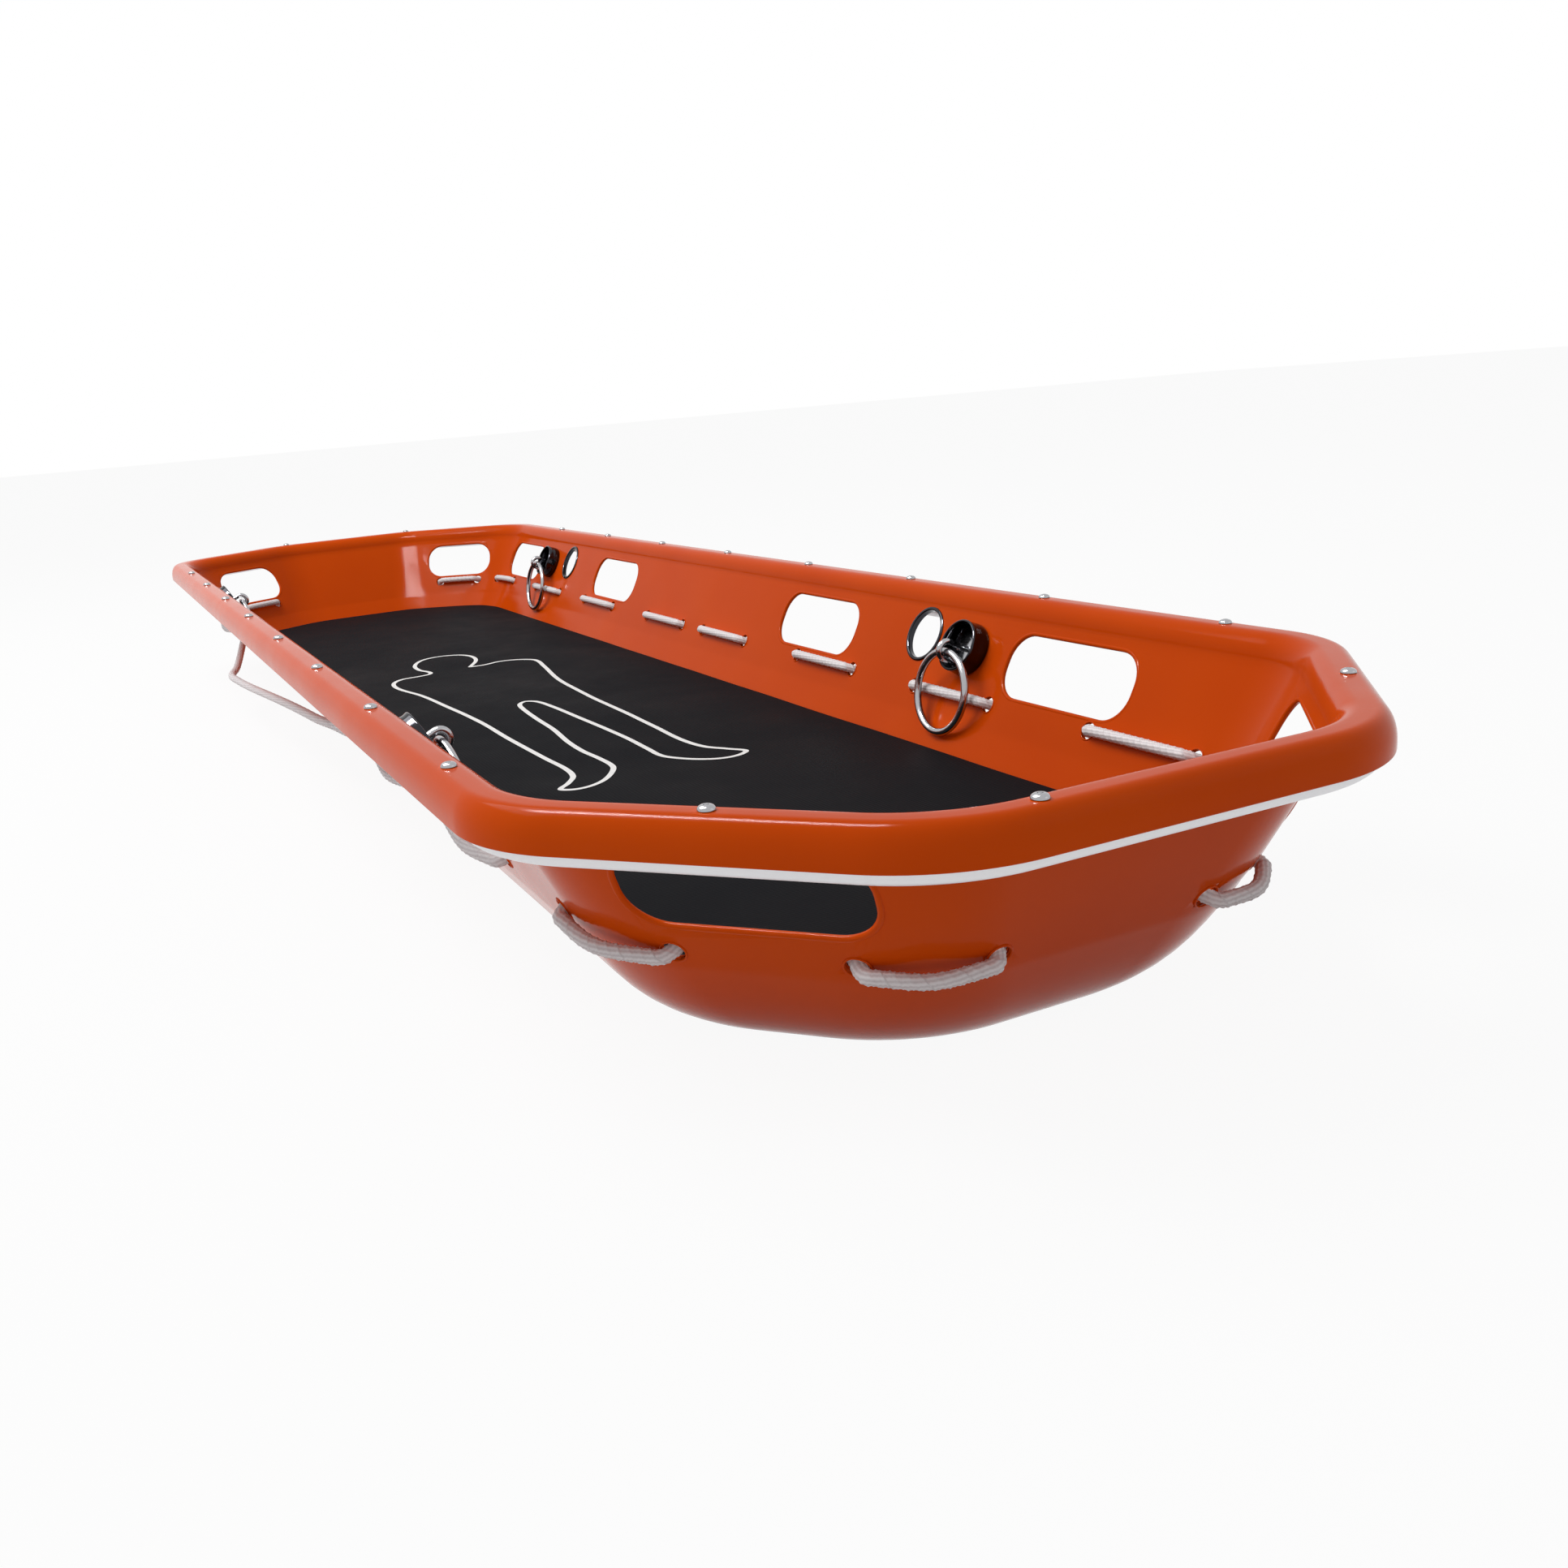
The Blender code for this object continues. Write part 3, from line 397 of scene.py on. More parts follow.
class SweepTree(GrowTree):
    """Geometry nodes that sweep a round wire along edges."""

    def __init__(self) -> None:
        """Builds the tree once."""
        super().__init__("sweep_wire", {"Radius": "Float", "Sides": "Int"})
        curve = self.out("GeometryNodeMeshToCurve", {"Mesh": self.given["Geometry"]})
        size = {"Resolution": self.given["Sides"], "Radius": self.given["Radius"]}
        self.close(self.swept(curve, self.out("GeometryNodeCurvePrimitiveCircle", size, "Curve")))

    def wire(
        self,
        name: str,
        paths: list[list[Vector]],
        radius: float,
        finish: Material,
        sides: int,
        closed: bool = False,
    ) -> Object:
        """Sweeps a round wire along paths.

        Args:
            name: Name of the object made.
            paths: Points of each path.
            radius: Radius of the wire.
            finish: Its material.
            sides: Number of points round it.
            closed: Whether each path closes on itself.

        Returns:
            The wire as an object.
        """
        return self.grow(name, paths, {"Radius": radius, "Sides": sides, "Material": finish}, closed)


class LaidRopeTree(GrowTree):
    """Geometry nodes that twist a three-lobed profile along edges, as a laid rope."""

    def __init__(self) -> None:
        """Builds the tree once."""
        super().__init__("laid_rope", {"Profile": "Object", "Step": "Float", "Lay Length": "Float"})
        given = self.given
        curve = self.out("GeometryNodeMeshToCurve", {"Mesh": given["Geometry"]})
        steps = {"Curve": curve, "Length": given["Step"]}
        even = self.out("GeometryNodeResampleCurve", steps, mode="LENGTH")
        along = self.out("GeometryNodeSplineParameter", socket="Length")
        turns = self.calc("DIVIDE", along, given["Lay Length"])
        tilt = {"Curve": even, "Tilt": self.calc("MULTIPLY", turns, math.tau)}
        path = self.marked(self.out("GeometryNodeSetCurveTilt", tilt), "along", along)
        shape = self.out("GeometryNodeObjectInfo", {"Object": given["Profile"]}, "Geometry")
        ring = self.out("GeometryNodeMeshToCurve", {"Mesh": shape})
        around = self.out("GeometryNodeSplineParameter", socket="Factor")
        self.close(self.swept(path, self.marked(ring, "around", around)))

    def marked(self, curve: NodeSocket, name: str, value: NodeSocket) -> NodeSocket:
        """Stores a value on a curve's points, for the rope's material to read."""
        values = {"Geometry": curve, "Name": name, "Value": value}
        return self.out("GeometryNodeStoreNamedAttribute", values, data_type="FLOAT", domain="POINT")


class ScatterTree(GrowTree):
    """Geometry nodes that set a copy of a piece on each point."""

    def __init__(self) -> None:
        """Builds the tree once."""
        super().__init__("piece_on_points", {"Piece": "Object", "Turn Range": "Float", "Seed": "Int"})
        given = self.given
        piece = self.out("GeometryNodeObjectInfo", {"Object": given["Piece"]}, "Geometry")
        draw = {"Max": given["Turn Range"], "Seed": given["Seed"]}
        turn = self.out("FunctionNodeRandomValue", draw, 1, data_type="FLOAT")
        spin = self.out("ShaderNodeCombineXYZ", {"Z": turn})
        values = {"Points": given["Geometry"], "Instance": piece, "Rotation": spin}
        self.close(self.out("GeometryNodeInstanceOnPoints", values))


# Finishes


class Look(Graph):
    """A new material, with the nodes that the finishes share."""

    def __init__(self, name: str) -> None:
        """Makes the material with its plain shader.

        Args:
            name: Name of the material.
        """
        self.material = bpy.data.materials.new(name)
        self.material.use_nodes = True
        super().__init__(self.material.node_tree)
        self.shader = self.tree.nodes["Principled BSDF"]
        self.place = self.out("ShaderNodeTexCoord", socket="Object")

    def cloud(self, scale: float, detail: float, roughness: float = 0.5) -> NodeSocket:
        """Noise with this many cells to the metre."""
        values = {"Vector": self.place, "Scale": scale, "Detail": detail, "Roughness": roughness}
        return self.out("ShaderNodeTexNoise", values, "Fac")

    def spread(self, value: NodeSocket, given: Pair, wanted: Pair) -> NodeSocket:
        """Maps a value from one range to another.

        Args:
            value: Socket that gives the value.
            given: The range that it runs through.
            wanted: The range that it is mapped to, and held in.

        Returns:
            The socket with the mapped value.
        """
        values = {"Value": value, "From Min": given[0], "From Max": given[1]}
        return self.out("ShaderNodeMapRange", values | {"To Min": wanted[0], "To Max": wanted[1]}, "Result")

    def bump(self, height: NodeSocket, strength: float, distance: float, **under: NodeSocket) -> NodeSocket:
        """Turns a height into a bumped normal.

        Args:
            height: Socket that gives the height.
            strength: Share of the bump that is used.
            distance: Rise of a height of 1.
            **under: Normal of another bump that lies under this one.

        Returns:
            The socket with the normal.
        """
        values = {"Height": height, "Strength": strength, "Distance": distance}
        return self.out("ShaderNodeBump", values | under, "Normal")

    def blend(self, share: NodeSocket, low: str, high: str) -> NodeSocket:
        """Blends two sRGB hex colours.

        Args:
            share: Socket that gives the share of the second colour.
            low: Colour at 0.
            high: Colour at 1.

        Returns:
            The socket with the blended colour.
        """
        values = {"Factor": share, "A": linear(low), "B": linear(high)}
        return self.out("ShaderNodeMix", values, "Result", data_type="RGBA")

    def done(self, inputs: dict[str, NodeSocket | float]) -> Material:
        """Sets the shader's inputs and gives the material."""
        self.feed(self.shader, inputs)
        return self.material


@dataclass(frozen=True)
class MouldedPolyethylene:
    """Moulded polyethylene: glossy, with a faint orange peel and a slow swim of its surface."""

    colour: str = "D64F08"
    deep_colour: str = "CA4406"
    roughness: float = 0.11
    scuffing: float = 0.05
    # Set far below a real skin's, so that white surroundings don't wash out the orange.
    specular: float = 0.03
    ior: float = 1.51
    peel_mm: float = 4.0
    swim_mm: float = 140.0

    def material(self) -> Material:
        """Builds the material."""
        look = Look("moulded_polyethylene_orange")
        swim = look.cloud(1000 / self.swim_mm, detail=2.0, roughness=0.45)
        peel = look.cloud(1000 / self.peel_mm, detail=1.0)
        scuff = look.cloud(60.0, detail=5.0, roughness=0.6)
        scuffed = (self.roughness, self.roughness + self.scuffing)
        fine = look.bump(peel, strength=0.10, distance=0.0004)
        return look.done(
            {
                "Base Color": look.blend(swim, self.deep_colour, self.colour),
                "Roughness": look.spread(scuff, given=(0.35, 0.75), wanted=scuffed),
                "IOR": self.ior,
                "Specular IOR Level": self.specular,
                "Normal": look.bump(swim, strength=0.35, distance=0.004, Normal=fine),
            }
        )


@dataclass(frozen=True)
class DrawnMetal:
    """A drawn or turned metal surface, told apart by its colour, roughness and grain."""

    name: str
    colour: str
    roughness: float
    grain_mm: float
    grain_depth: float = 0.15
    # An oxide or a clear coat over the metal leaves a little of its light matt.
    metallic: float = 1.0

    def material(self) -> Material:
        """Builds the material."""
        look = Look(self.name)
        grain = look.cloud(1000 / self.grain_mm, detail=4.0, roughness=0.6)
        worn = (self.roughness * 0.8, self.roughness * 1.25)
        return look.done(
            {
                "Base Color": linear(self.colour),
                "Metallic": self.metallic,
                "Roughness": look.spread(grain, given=(0.3, 0.7), wanted=worn),
                "Normal": look.bump(grain, strength=self.grain_depth, distance=0.0002),
            }
        )


@dataclass(frozen=True)
class LaidPolyester:
    """White polyester rope, laid from three strands of fine yarn that catch a soft sheen."""

    colour: str = "F3EEEF"
    # Darker colour for the low parts between the yarns: painted shade in the grooves.
    shade: str = "CEC3C4"
    yarn_mm: float = 1.1
    yarns_around: float = 18.0
    roughness: float = 0.72
    sheen: float = 0.3

    def material(self) -> Material:
        """Builds the material."""
        look = Look("laid_polyester_rope")
        along = look.out("ShaderNodeAttribute", socket="Fac", attribute_name="along")
        around = look.out("ShaderNodeAttribute", socket="Fac", attribute_name="around")
        # Yarns run nearly along the rope, across the strand's own turn.
        length = look.calc("MULTIPLY", along, 1000 / self.yarn_mm)
        both = look.calc("ADD", length, look.calc("MULTIPLY", around, self.yarns_around))
        yarn = look.calc("SINE", look.calc("MULTIPLY", both, math.pi))
        height = look.calc("ADD", yarn, look.cloud(900.0, detail=3.0))
        # The colour goes darker where the yarns' height is low: painted shade between the yarns, plus a
        # random mottle from the noise.
        share = look.spread(height, given=(-0.6, 1.2), wanted=(0.25, 1.0))
        return look.done(
            {
                "Base Color": look.blend(share, self.shade, self.colour),
                "Roughness": self.roughness,
                "Sheen Weight": self.sheen,
                "Normal": look.bump(height, strength=0.4, distance=0.0003),
            }
        )


@dataclass(frozen=True)
class CoatedFabric:
    """Black coated nylon of a mattress cover: a tight plain weave under a thin coat."""

    colour: str = "151618"
    worn_colour: str = "1B1C1F"
    # Set far below a real coat's, so that white surroundings don't turn the cover grey.
    specular: float = 0.01
    # The real thread is near 0.4 mm; it is drawn coarser so that the weave shows at all.
    thread_mm: float = 1.6

    def material(self) -> Material:
        """Builds the material."""
        look = Look("coated_nylon_black")
        cloud = look.cloud(9.0, detail=5.0)
        band = {"Vector": look.place, "Scale": 1000 / self.thread_mm / math.tau}
        threads = [
            look.out("ShaderNodeTexWave", band, "Fac", wave_type="BANDS", bands_direction=axis)
            for axis in ("X", "Y")
        ]
        return look.done(
            {
                "Base Color": look.blend(cloud, self.colour, self.worn_colour),
                "Roughness": look.spread(cloud, given=(0.3, 0.7), wanted=(0.50, 0.68)),
                "Specular IOR Level": self.specular,
                "Normal": look.bump(look.calc("ADD", *threads), strength=0.25, distance=0.0003),
            }
        )


@dataclass(frozen=True)
class PrintedInk:
    """Screen-printed ink with a fine mottle."""

    colour: str = "F2F2F0"
    other_colour: str = "DCDCDA"
    roughness: float = 0.55
    mottle_mm: float = 3.0

    def material(self) -> Material:
        """Builds the material."""
        look = Look("screen_print_ink")
        mottle = look.cloud(1000 / self.mottle_mm, detail=3.0)
        tint = look.blend(mottle, self.colour, self.other_colour)
        return look.done({"Base Color": tint, "Roughness": self.roughness})


# The tray's shape


@dataclass
class RimPlan:
    """Octagon of the rim's crown line, seen from above, with round corners."""

    lip_half_width: float = 0.0154
    foot_flat: float = 0.2774
    foot_taper: float = 0.1813
    head_flat: float = 0.2196
    head_taper: float = 0.1181
    corner_steps: int = 14
    # Share of an edge that the rounds at its two ends may take up.
    round_share: float = 0.98
    half_length: float = field(init=False)
    half_width: float = field(init=False)

    def __post_init__(self) -> None:
        """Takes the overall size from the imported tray."""
        low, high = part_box("tray_shell")
        self.half_length = (high.x - low.x) / 2 - self.lip_half_width
        self.half_width = (high.y - low.y) / 2 - self.lip_half_width

    def corners(self) -> list[Vector]:
        """Corners of the crown line, counter-clockwise from the foot end's left shoulder."""
        foot = self.half_length - self.foot_taper
        head = self.half_length - self.head_taper
        return [
            Vector((foot, -self.half_width)),
            Vector((self.half_length, -self.foot_flat / 2)),
            Vector((self.half_length, self.foot_flat / 2)),
            Vector((foot, self.half_width)),
            Vector((-head, self.half_width)),
            Vector((-self.half_length, self.head_flat / 2)),
            Vector((-self.half_length, -self.head_flat / 2)),
            Vector((-head, -self.half_width)),
        ]

    def edge(self, index: int) -> tuple[Vector, Vector, Vector, float]:
        """Start, direction, outward normal and length of one edge."""
        corners = self.corners()
        run = corners[(index + 1) % 8] - corners[index % 8]
        direction = run.normalized()
        return corners[index % 8], direction, Vector((direction.y, -direction.x)), run.length

    def depth(self, x: float, y: float) -> float:
        """Distance of a point inwards from the crown line."""
        edges = [self.edge(index) for index in range(8)]
        return min((start - Vector((x, y))).dot(outward) for start, _, outward, _ in edges)

    def inset(self, distance: float) -> list[Vector]:
        """Corners of the octagon moved inwards."""
        made = []
        for index in range(8):
            start, direction, outward, _ = self.edge(index)
            _, before, before_out, _ = self.edge(index - 1)
            shift = (before_out - outward) * distance
            along = shift.cross(direction) / before.cross(direction)
            made.append(start - before_out * distance + before * along)
        return made

    def arc(self, corners: list[Vector], index: int, radius: float) -> list[Vector]:
        """Points of the round at one corner, fitted to its neighbours.

        Args:
            corners: Corners of the octagon.
            index: Corner that is rounded.
            radius: Wanted radius.

        Returns:
            Points along the round.
        """
        corner = corners[index]
        before = (corners[index - 1] - corner).normalized()
        after = (corners[(index + 1) % 8] - corner).normalized()
        half_turn = (math.pi - before.angle(after)) / 2
        tangent = radius * math.tan(half_turn)
        for other in (index - 1, (index + 1) % 8):
            edge = corners[other] - corner
            back = corners[other - 1] - corners[other]
            on = corners[(other + 1) % 8] - corners[other]
            both = tangent + radius * math.tan((math.pi - back.angle(on)) / 2)
            tangent = min(tangent, self.round_share * edge.length * tangent / both)
        fitted = tangent / math.tan(half_turn)
        centre = corner + (before + after).normalized() * (fitted / math.cos(half_turn))
        first = corner + before * tangent - centre
        turns = [2 * half_turn * step / self.corner_steps for step in range(self.corner_steps + 1)]
        return [centre + Matrix.Rotation(turn, 2) @ first for turn in turns]

    def outline(self, inset: float, radius: float, level: float) -> list[Vector]:
        """A closed ring of points at one inset and level."""
        corners = self.inset(inset)
        points = []
        for index in range(8):
            points += [Vector((p.x, p.y, level)) for p in self.arc(corners, index, radius)]
        return points


@dataclass
class TraySection:
    """Section of the tray's upper face, from the floor's edge out to the lip's end."""

    plan: RimPlan
    height: float = 0.185
    wall: float = 0.0035
    slope: float = 0.5
    rope_level: float = 0.0943
    rope_inset: float = 0.0539
    chine_level: float = 0.0730
    bilge_level: float = 0.0505
    bilge_step: float = 0.0145
    # Power of the curve by which the floor turns up into the bilge.
    bilge_curve: float = 2.3
    # Rings this far above the chine keep its edge tight.
    chine_rings: Pair = (0.0012, 0.004)
    floor_inset: float = 0.150
    wall_top_drop: float = 0.0200
    lip_flat: float = 0.0045
    lip_drop: float = 0.0240
    lip_shoulder_drop: float = 0.0190
    rim_radius: float = 0.098
    wall_radius: float = 0.095
    bilge_radius: float = 0.120

    def wall_inset(self, level: float) -> float:
        """Inset of the straight wall's inner face at a level."""
        return self.rope_inset - self.slope * (level - self.rope_level)

    def floor_curve(self) -> list[Triple]:
        """The round from the flat floor up to the bilge."""
        reach = self.floor_inset - self.wall_inset(self.chine_level) - self.bilge_step
        depth = self.bilge_level - self.wall
        made = []
        for part in (step / 10 for step in range(11)):
            level = self.wall + depth * part**self.bilge_curve
            made.append((self.floor_inset - reach * part, level, self.bilge_radius))
        return made

    def profile(self) -> list[Triple]:
        """(inset, level, corner radius) of every ring of the tray."""
        made = self.floor_curve()
        chine = self.wall_inset(self.chine_level)
        for part in (0.5, 0.86, 0.95):
            level = self.bilge_level + (self.chine_level - self.bilge_level) * part
            made.append((chine + self.bilge_step * (1 - part), level, self.bilge_radius))
        for level in (self.chine_level + rise for rise in self.chine_rings):
            made.append((self.wall_inset(level), level, self.bilge_radius))
        top = self.height - self.wall_top_drop
        for part in (0.0, 0.35, 0.7, 0.9):
            level = self.rope_level + (top - self.rope_level) * part
            made.append((self.wall_inset(level), level, self.wall_radius))
        roll = self.wall_inset(top) - self.lip_flat
        inner = bow((self.lip_flat, top), roll, self.wall_top_drop, range(0, 90, 10))
        made += [(inset, level, self.rim_radius) for inset, level in inner]
        made += [(self.lip_flat * share, self.height, self.rim_radius) for share in (1.0, 0.0, -0.6)]
        lip = self.plan.lip_half_width
        shoulder = (-self.lip_flat, self.height - self.lip_shoulder_drop)
        outer = bow(shoulder, self.lip_flat - lip, self.lip_shoulder_drop, range(90, -1, -9))
        made += [(inset, level, self.rim_radius - inset) for inset, level in outer]
        made.append((-lip, self.height - self.lip_drop, self.rim_radius + lip))
        return made

    def wall_frame(self, edge: int, along: float, level: float) -> Matrix:
        """Place on the wall's inner face: x back along the edge, y up the wall, z into the tray.

        Args:
            edge: Edge of the rim's octagon.
            along: Distance from the edge's start.
            level: Height above the ground.

        Returns:
            The place as a matrix.
        """
        start, direction, outward, _ = self.plan.edge(edge)
        foot = start + direction * along - outward * self.wall_inset(level)
        return self.frame_at(Vector((foot.x, foot.y, level)), outward)

    def frame_at(self, point: Vector, outward: Vector) -> Matrix:
        """Place on the wall at a point, for a level outward direction."""
        up = Vector((outward.x * self.slope, outward.y * self.slope, 1)).normalized()
        inward = Vector((-outward.x, -outward.y, self.slope)).normalized()
        made = Matrix((up.cross(inward), up, inward)).transposed().to_4x4()
        made.translation = point
        return made


class WallLine:
    """The wall's inner face at the rope's level, a closed line from the head end's middle."""

    foot_dip: float = 0.0120
    foot_dip_start: float = 0.8393
    foot_dip_end: float = 0.91996
    # Stations this far on both sides give the line's direction.
    look_ahead: float = 0.008

    def __init__(self, section: TraySection) -> None:
        """Lays the line out.

        Args:
            section: Section of the tray that the line runs on.
        """
        self.section = section
        plan = section.plan
        ring = plan.outline(section.rope_inset, section.wall_radius, section.rope_level)
        first = 6 * (plan.corner_steps + 1)
        ring = ring[first:] + ring[:first]
        middle = (ring[-1] + ring[0]) / 2
        self.points = [middle] + ring + [middle]
        self.stations = [0.0]
        for before, after in zip(self.points, self.points[1:]):
            self.stations.append(self.stations[-1] + (after - before).length)
        self.length = self.stations[-1]

    def point(self, station: float) -> Vector:
        """Point of the line at a station."""
        station %= self.length
        for index, end in enumerate(self.stations[1:]):
            if station <= end:
                start = self.stations[index]
                share = (station - start) / (end - start)
                return self.points[index].lerp(self.points[index + 1], share)
        return self.points[-1].copy()

    def frame(self, station: float) -> Matrix:
        """Place on the wall at a station."""
        direction = self.point(station + self.look_ahead) - self.point(station - self.look_ahead)
        direction.normalize()
        here = self.point(station)
        share = held((here.x - self.foot_dip_start) / (self.foot_dip_end - self.foot_dip_start))
        dip = self.foot_dip * share * share * (3 - 2 * share)
        place = self.section.frame_at(here, Vector((direction.y, -direction.x)))
        return place @ Matrix.Translation((0, -dip, 0))

    def nearest(self, x: float, y: float) -> float:
        """Station of the point on the line that is nearest to x, y."""
        target = Vector((x, y, self.section.rope_level))
        best = (math.inf, 0.0)
        for index, (before, after) in enumerate(zip(self.points, self.points[1:])):
            run = after - before
            share = held((target - before).dot(run) / max(run.length_squared, 1e-12))
            gap = (before + run * share - target).length
            best = min(best, (gap, self.stations[index] + run.length * share))
        return best[1]


@dataclass
class Openings:
    """Places and sizes of the slots and holes in the tray's wall."""

    section: TraySection
    side_middle: float = -0.082
    slot_offsets: Pair = (0.311, 0.739)
    slot_length: float = 0.165
    slot_height: float = 0.060
    slot_corner: float = 0.026
    slot_level: float = 0.130
    foot_slot_length: float = 0.148
    head_slot_length: float = 0.118
    eyelet_offset: float = 0.519
    eyelet_level: float = 0.1403
    eyelet_hole: float = 0.0256
    fitting_offset: float = 0.600
    fitting_level: float = 0.134

    def side_along(self, edge: int, x: float) -> float:
        """Distance along a long side of the point at x."""
        return abs(x - self.section.plan.corners()[edge].x)

    def slots(self) -> list[tuple[Matrix, float]]:
        """Place and length of every hand slot."""
        spots = []
        for edge in (3, 7):
            for offset in self.slot_offsets:
                for sign in (-1, 1):
                    along = self.side_along(edge, self.side_middle + sign * offset)
                    spots.append((edge, along, self.slot_length))
        for edges, length in (((0, 2), self.foot_slot_length), ((4, 6), self.head_slot_length)):
            spots += [(edge, self.section.plan.edge(edge)[3] / 2, length) for edge in edges]
        frame_of = self.section.wall_frame
        return [(frame_of(edge, along, self.slot_level), length) for edge, along, length in spots]

    def slot_outline(self, length: float, grow_by: float = 0.0) -> list[Vector]:
        """Outline of a slot in its own plane.

        Args:
            length: Length of the slot.
            grow_by: How far the outline lies outside the slot's edge.

        Returns:
            Points of the closed outline.
        """
        radius = self.slot_corner + grow_by
        across = length / 2 - self.slot_corner
        up = self.slot_height / 2 - self.slot_corner
        points = []
        for quarter, (x, y) in enumerate(((1, 1), (-1, 1), (-1, -1), (1, -1))):
            angles = range(90 * quarter, 90 * quarter + 91, 9)
            points += [Vector((*p, 0)) for p in bow((x * across, y * up), radius, radius, angles)]
        return points

    def side_places(self, offset: float, level: float) -> dict[str, Matrix]:
        """Places of a fitting at both ends of both sides, by the name of its corner."""
        made = {}
        for edge, side in ((7, Side.LEFT), (3, Side.RIGHT)):
            for end in End:
                along = self.side_along(edge, self.side_middle + end.value * offset)
                name = f"{end.name.lower()}_{side.name.lower()}"
                made[name] = self.section.wall_frame(edge, along, level)
        return made

    def eyelets(self) -> dict[str, Matrix]:
        """Place of each eyelet."""
        return self.side_places(self.eyelet_offset, self.eyelet_level)

    def fittings(self) -> dict[str, Matrix]:
        """Place of each lifting fitting."""
        return self.side_places(self.fitting_offset, self.fitting_level)


@dataclass
class Lacing:
    """How the grab rope is laced through the wall."""

    line: WallLine
    rope_radius: float = 0.005
    gap: float = 0.0010
    hole_ratio: float = 1.5
    # The rope turns into a hole from far to near, as shares of the hole's radius.
    hole_near: float = 0.55
    hole_far: float = 1.35
    # Share of its distance from the wall that the rope still has at near.
    hole_lift: float = 0.8
    bulge: float = 0.004
    sag: float = 0.004
    slack_bulge: float = 0.042
    slack_sag: float = 0.037
    # How much nearer the wall the loop lies at its end, and how much less it hangs down.
    slack_fade: float = 0.85
    slack_rise: float = 0.6
    # Power below 1 that moves the lowest point of the loop towards its start.
    slack_lead: float = 0.45
    outer_step: float = 0.055
    side_middle: float = -0.078
    side_offsets: tuple[float, ...] = (0.0925, 0.348, 0.5875, 0.845)
    side_length: float = 0.120
    end_x: float = -0.894
    end_length: float = 0.065
    foot_taper_length: float = 0.108
    foot_flat_length: float = 0.145
    head_taper_length: float = 0.070
    knot_radius: float = 0.0105
    knot_length: float = 0.034
    # Share of the knot's half-length at which the rope's ends lie inside it.
    knot_tuck: float = 0.6

    @property
    def hole_radius(self) -> float:
        """Radius of the holes in the wall."""
        return self.rope_radius * self.hole_ratio

    @property
    def lift(self) -> float:
        """Distance of the rope's middle from the wall's middle."""
        return self.line.section.wall / 2 + self.rope_radius + self.gap

    def laces(self) -> list[Pair]:
        """Stretches of rope inside the tray, as (first, last) stations in walking order."""
        line = self.line
        plan = line.section.plan
        places = []
        for edge, length in (
            (6, self.head_taper_length),
            (0, self.foot_taper_length),
            (1, self.foot_flat_length),
            (2, self.foot_taper_length),
            (4, self.head_taper_length),
        ):
            start, direction, _, run = plan.edge(edge)
            middle = start + direction * run / 2
            places.append((line.nearest(middle.x, middle.y), length))
        for y in (-plan.half_width, plan.half_width):
            places.append((line.nearest(self.end_x, y), self.end_length))
            for offset in self.side_offsets:
                for sign in (-1, 1):
                    x = self.side_middle + sign * offset
                    if x > self.end_x + (self.end_length + self.side_length) / 2:
                        places.append((line.nearest(x, y), self.side_length))
        return sorted((middle - length / 2, middle + length / 2) for middle, length in places)

    def slack(self) -> list[Pair]:
        """Holes on the left side that the rope passes by, as it hangs slack outside them."""
        y = -self.line.section.plan.half_width
        first = self.line.nearest(self.side_middle - self.side_offsets[2], y)
        last = self.line.nearest(self.side_middle + self.side_offsets[1], y)
        return [lace for lace in self.laces() if first < lace[0] and lace[1] < last]

    def point(self, station: float, lift: float, bulge: float = 0.0, sag: float = 0.0) -> Vector:
        """A point beside the wall's middle: lift goes into the tray, bulge level away from it."""
        place = self.line.frame(station)
        along = place.col[0].xyz
        made = place @ Vector((0, 0, lift - self.line.section.wall / 2))
        return made + Vector((-along.y, along.x, 0)) * bulge - Vector((0, 0, sag))

    def hole(self, station: float, inwards: bool) -> list[Vector]:
        """The rope's way through one hole, in walking order."""
        lift = -self.lift if inwards else self.lift
        near = self.hole_near * self.hole_radius
        far = self.hole_far * self.hole_radius
        shoulder = self.hole_lift * lift
        steps = ((-far, lift), (-near, shoulder), (near, -shoulder), (far, -lift))
        return [self.point(station + step, height) for step, height in steps]

    def outer(self, start: float, end: float) -> list[Vector]:
        """The rope outside the wall between two stations."""
        length = end - start
        slack = length > 3 * self.side_length
        share = min(1, length / self.side_length)
        steps = max(2, round(length / self.outer_step))
        points = []
        for part in (step / steps for step in range(1, steps)):
            lean = min(1, 8 * part * (1 - part))
            if slack:
                bulge = self.slack_bulge * lean * (1 - self.slack_fade * part)
                fall = math.sin(math.pi * part**self.slack_lead)
                sag = self.slack_sag * fall * (1 - self.slack_rise * part)
            else:
                bulge = self.bulge * share * lean
                sag = self.sag * share * lean
            points.append(self.point(start + length * part, -self.lift, bulge, sag))
        return points

    def route(self) -> list[Vector]:
        """The whole rope, from one side of the knot round the tray to the other side."""
        slack = self.slack()
        lift = -self.line.section.wall / 2 - self.knot_radius - self.gap
        tuck = self.knot_length / 2 * self.knot_tuck
        lead = self.knot_length
        far = self.hole_far * self.hole_radius
        points = [self.point(tuck, lift), self.point(lead, lift)]
        here = lead
        for first, last in self.laces():
            if (first, last) not in slack:
                points += self.outer(here, first - far)
                points += self.hole(first, inwards=True) + self.hole(last, inwards=False)
                here = last + far
        points += self.outer(here, self.line.length - lead)
        return points + [self.point(-lead, lift), self.point(-tuck, lift)]


# Sub-assemblies


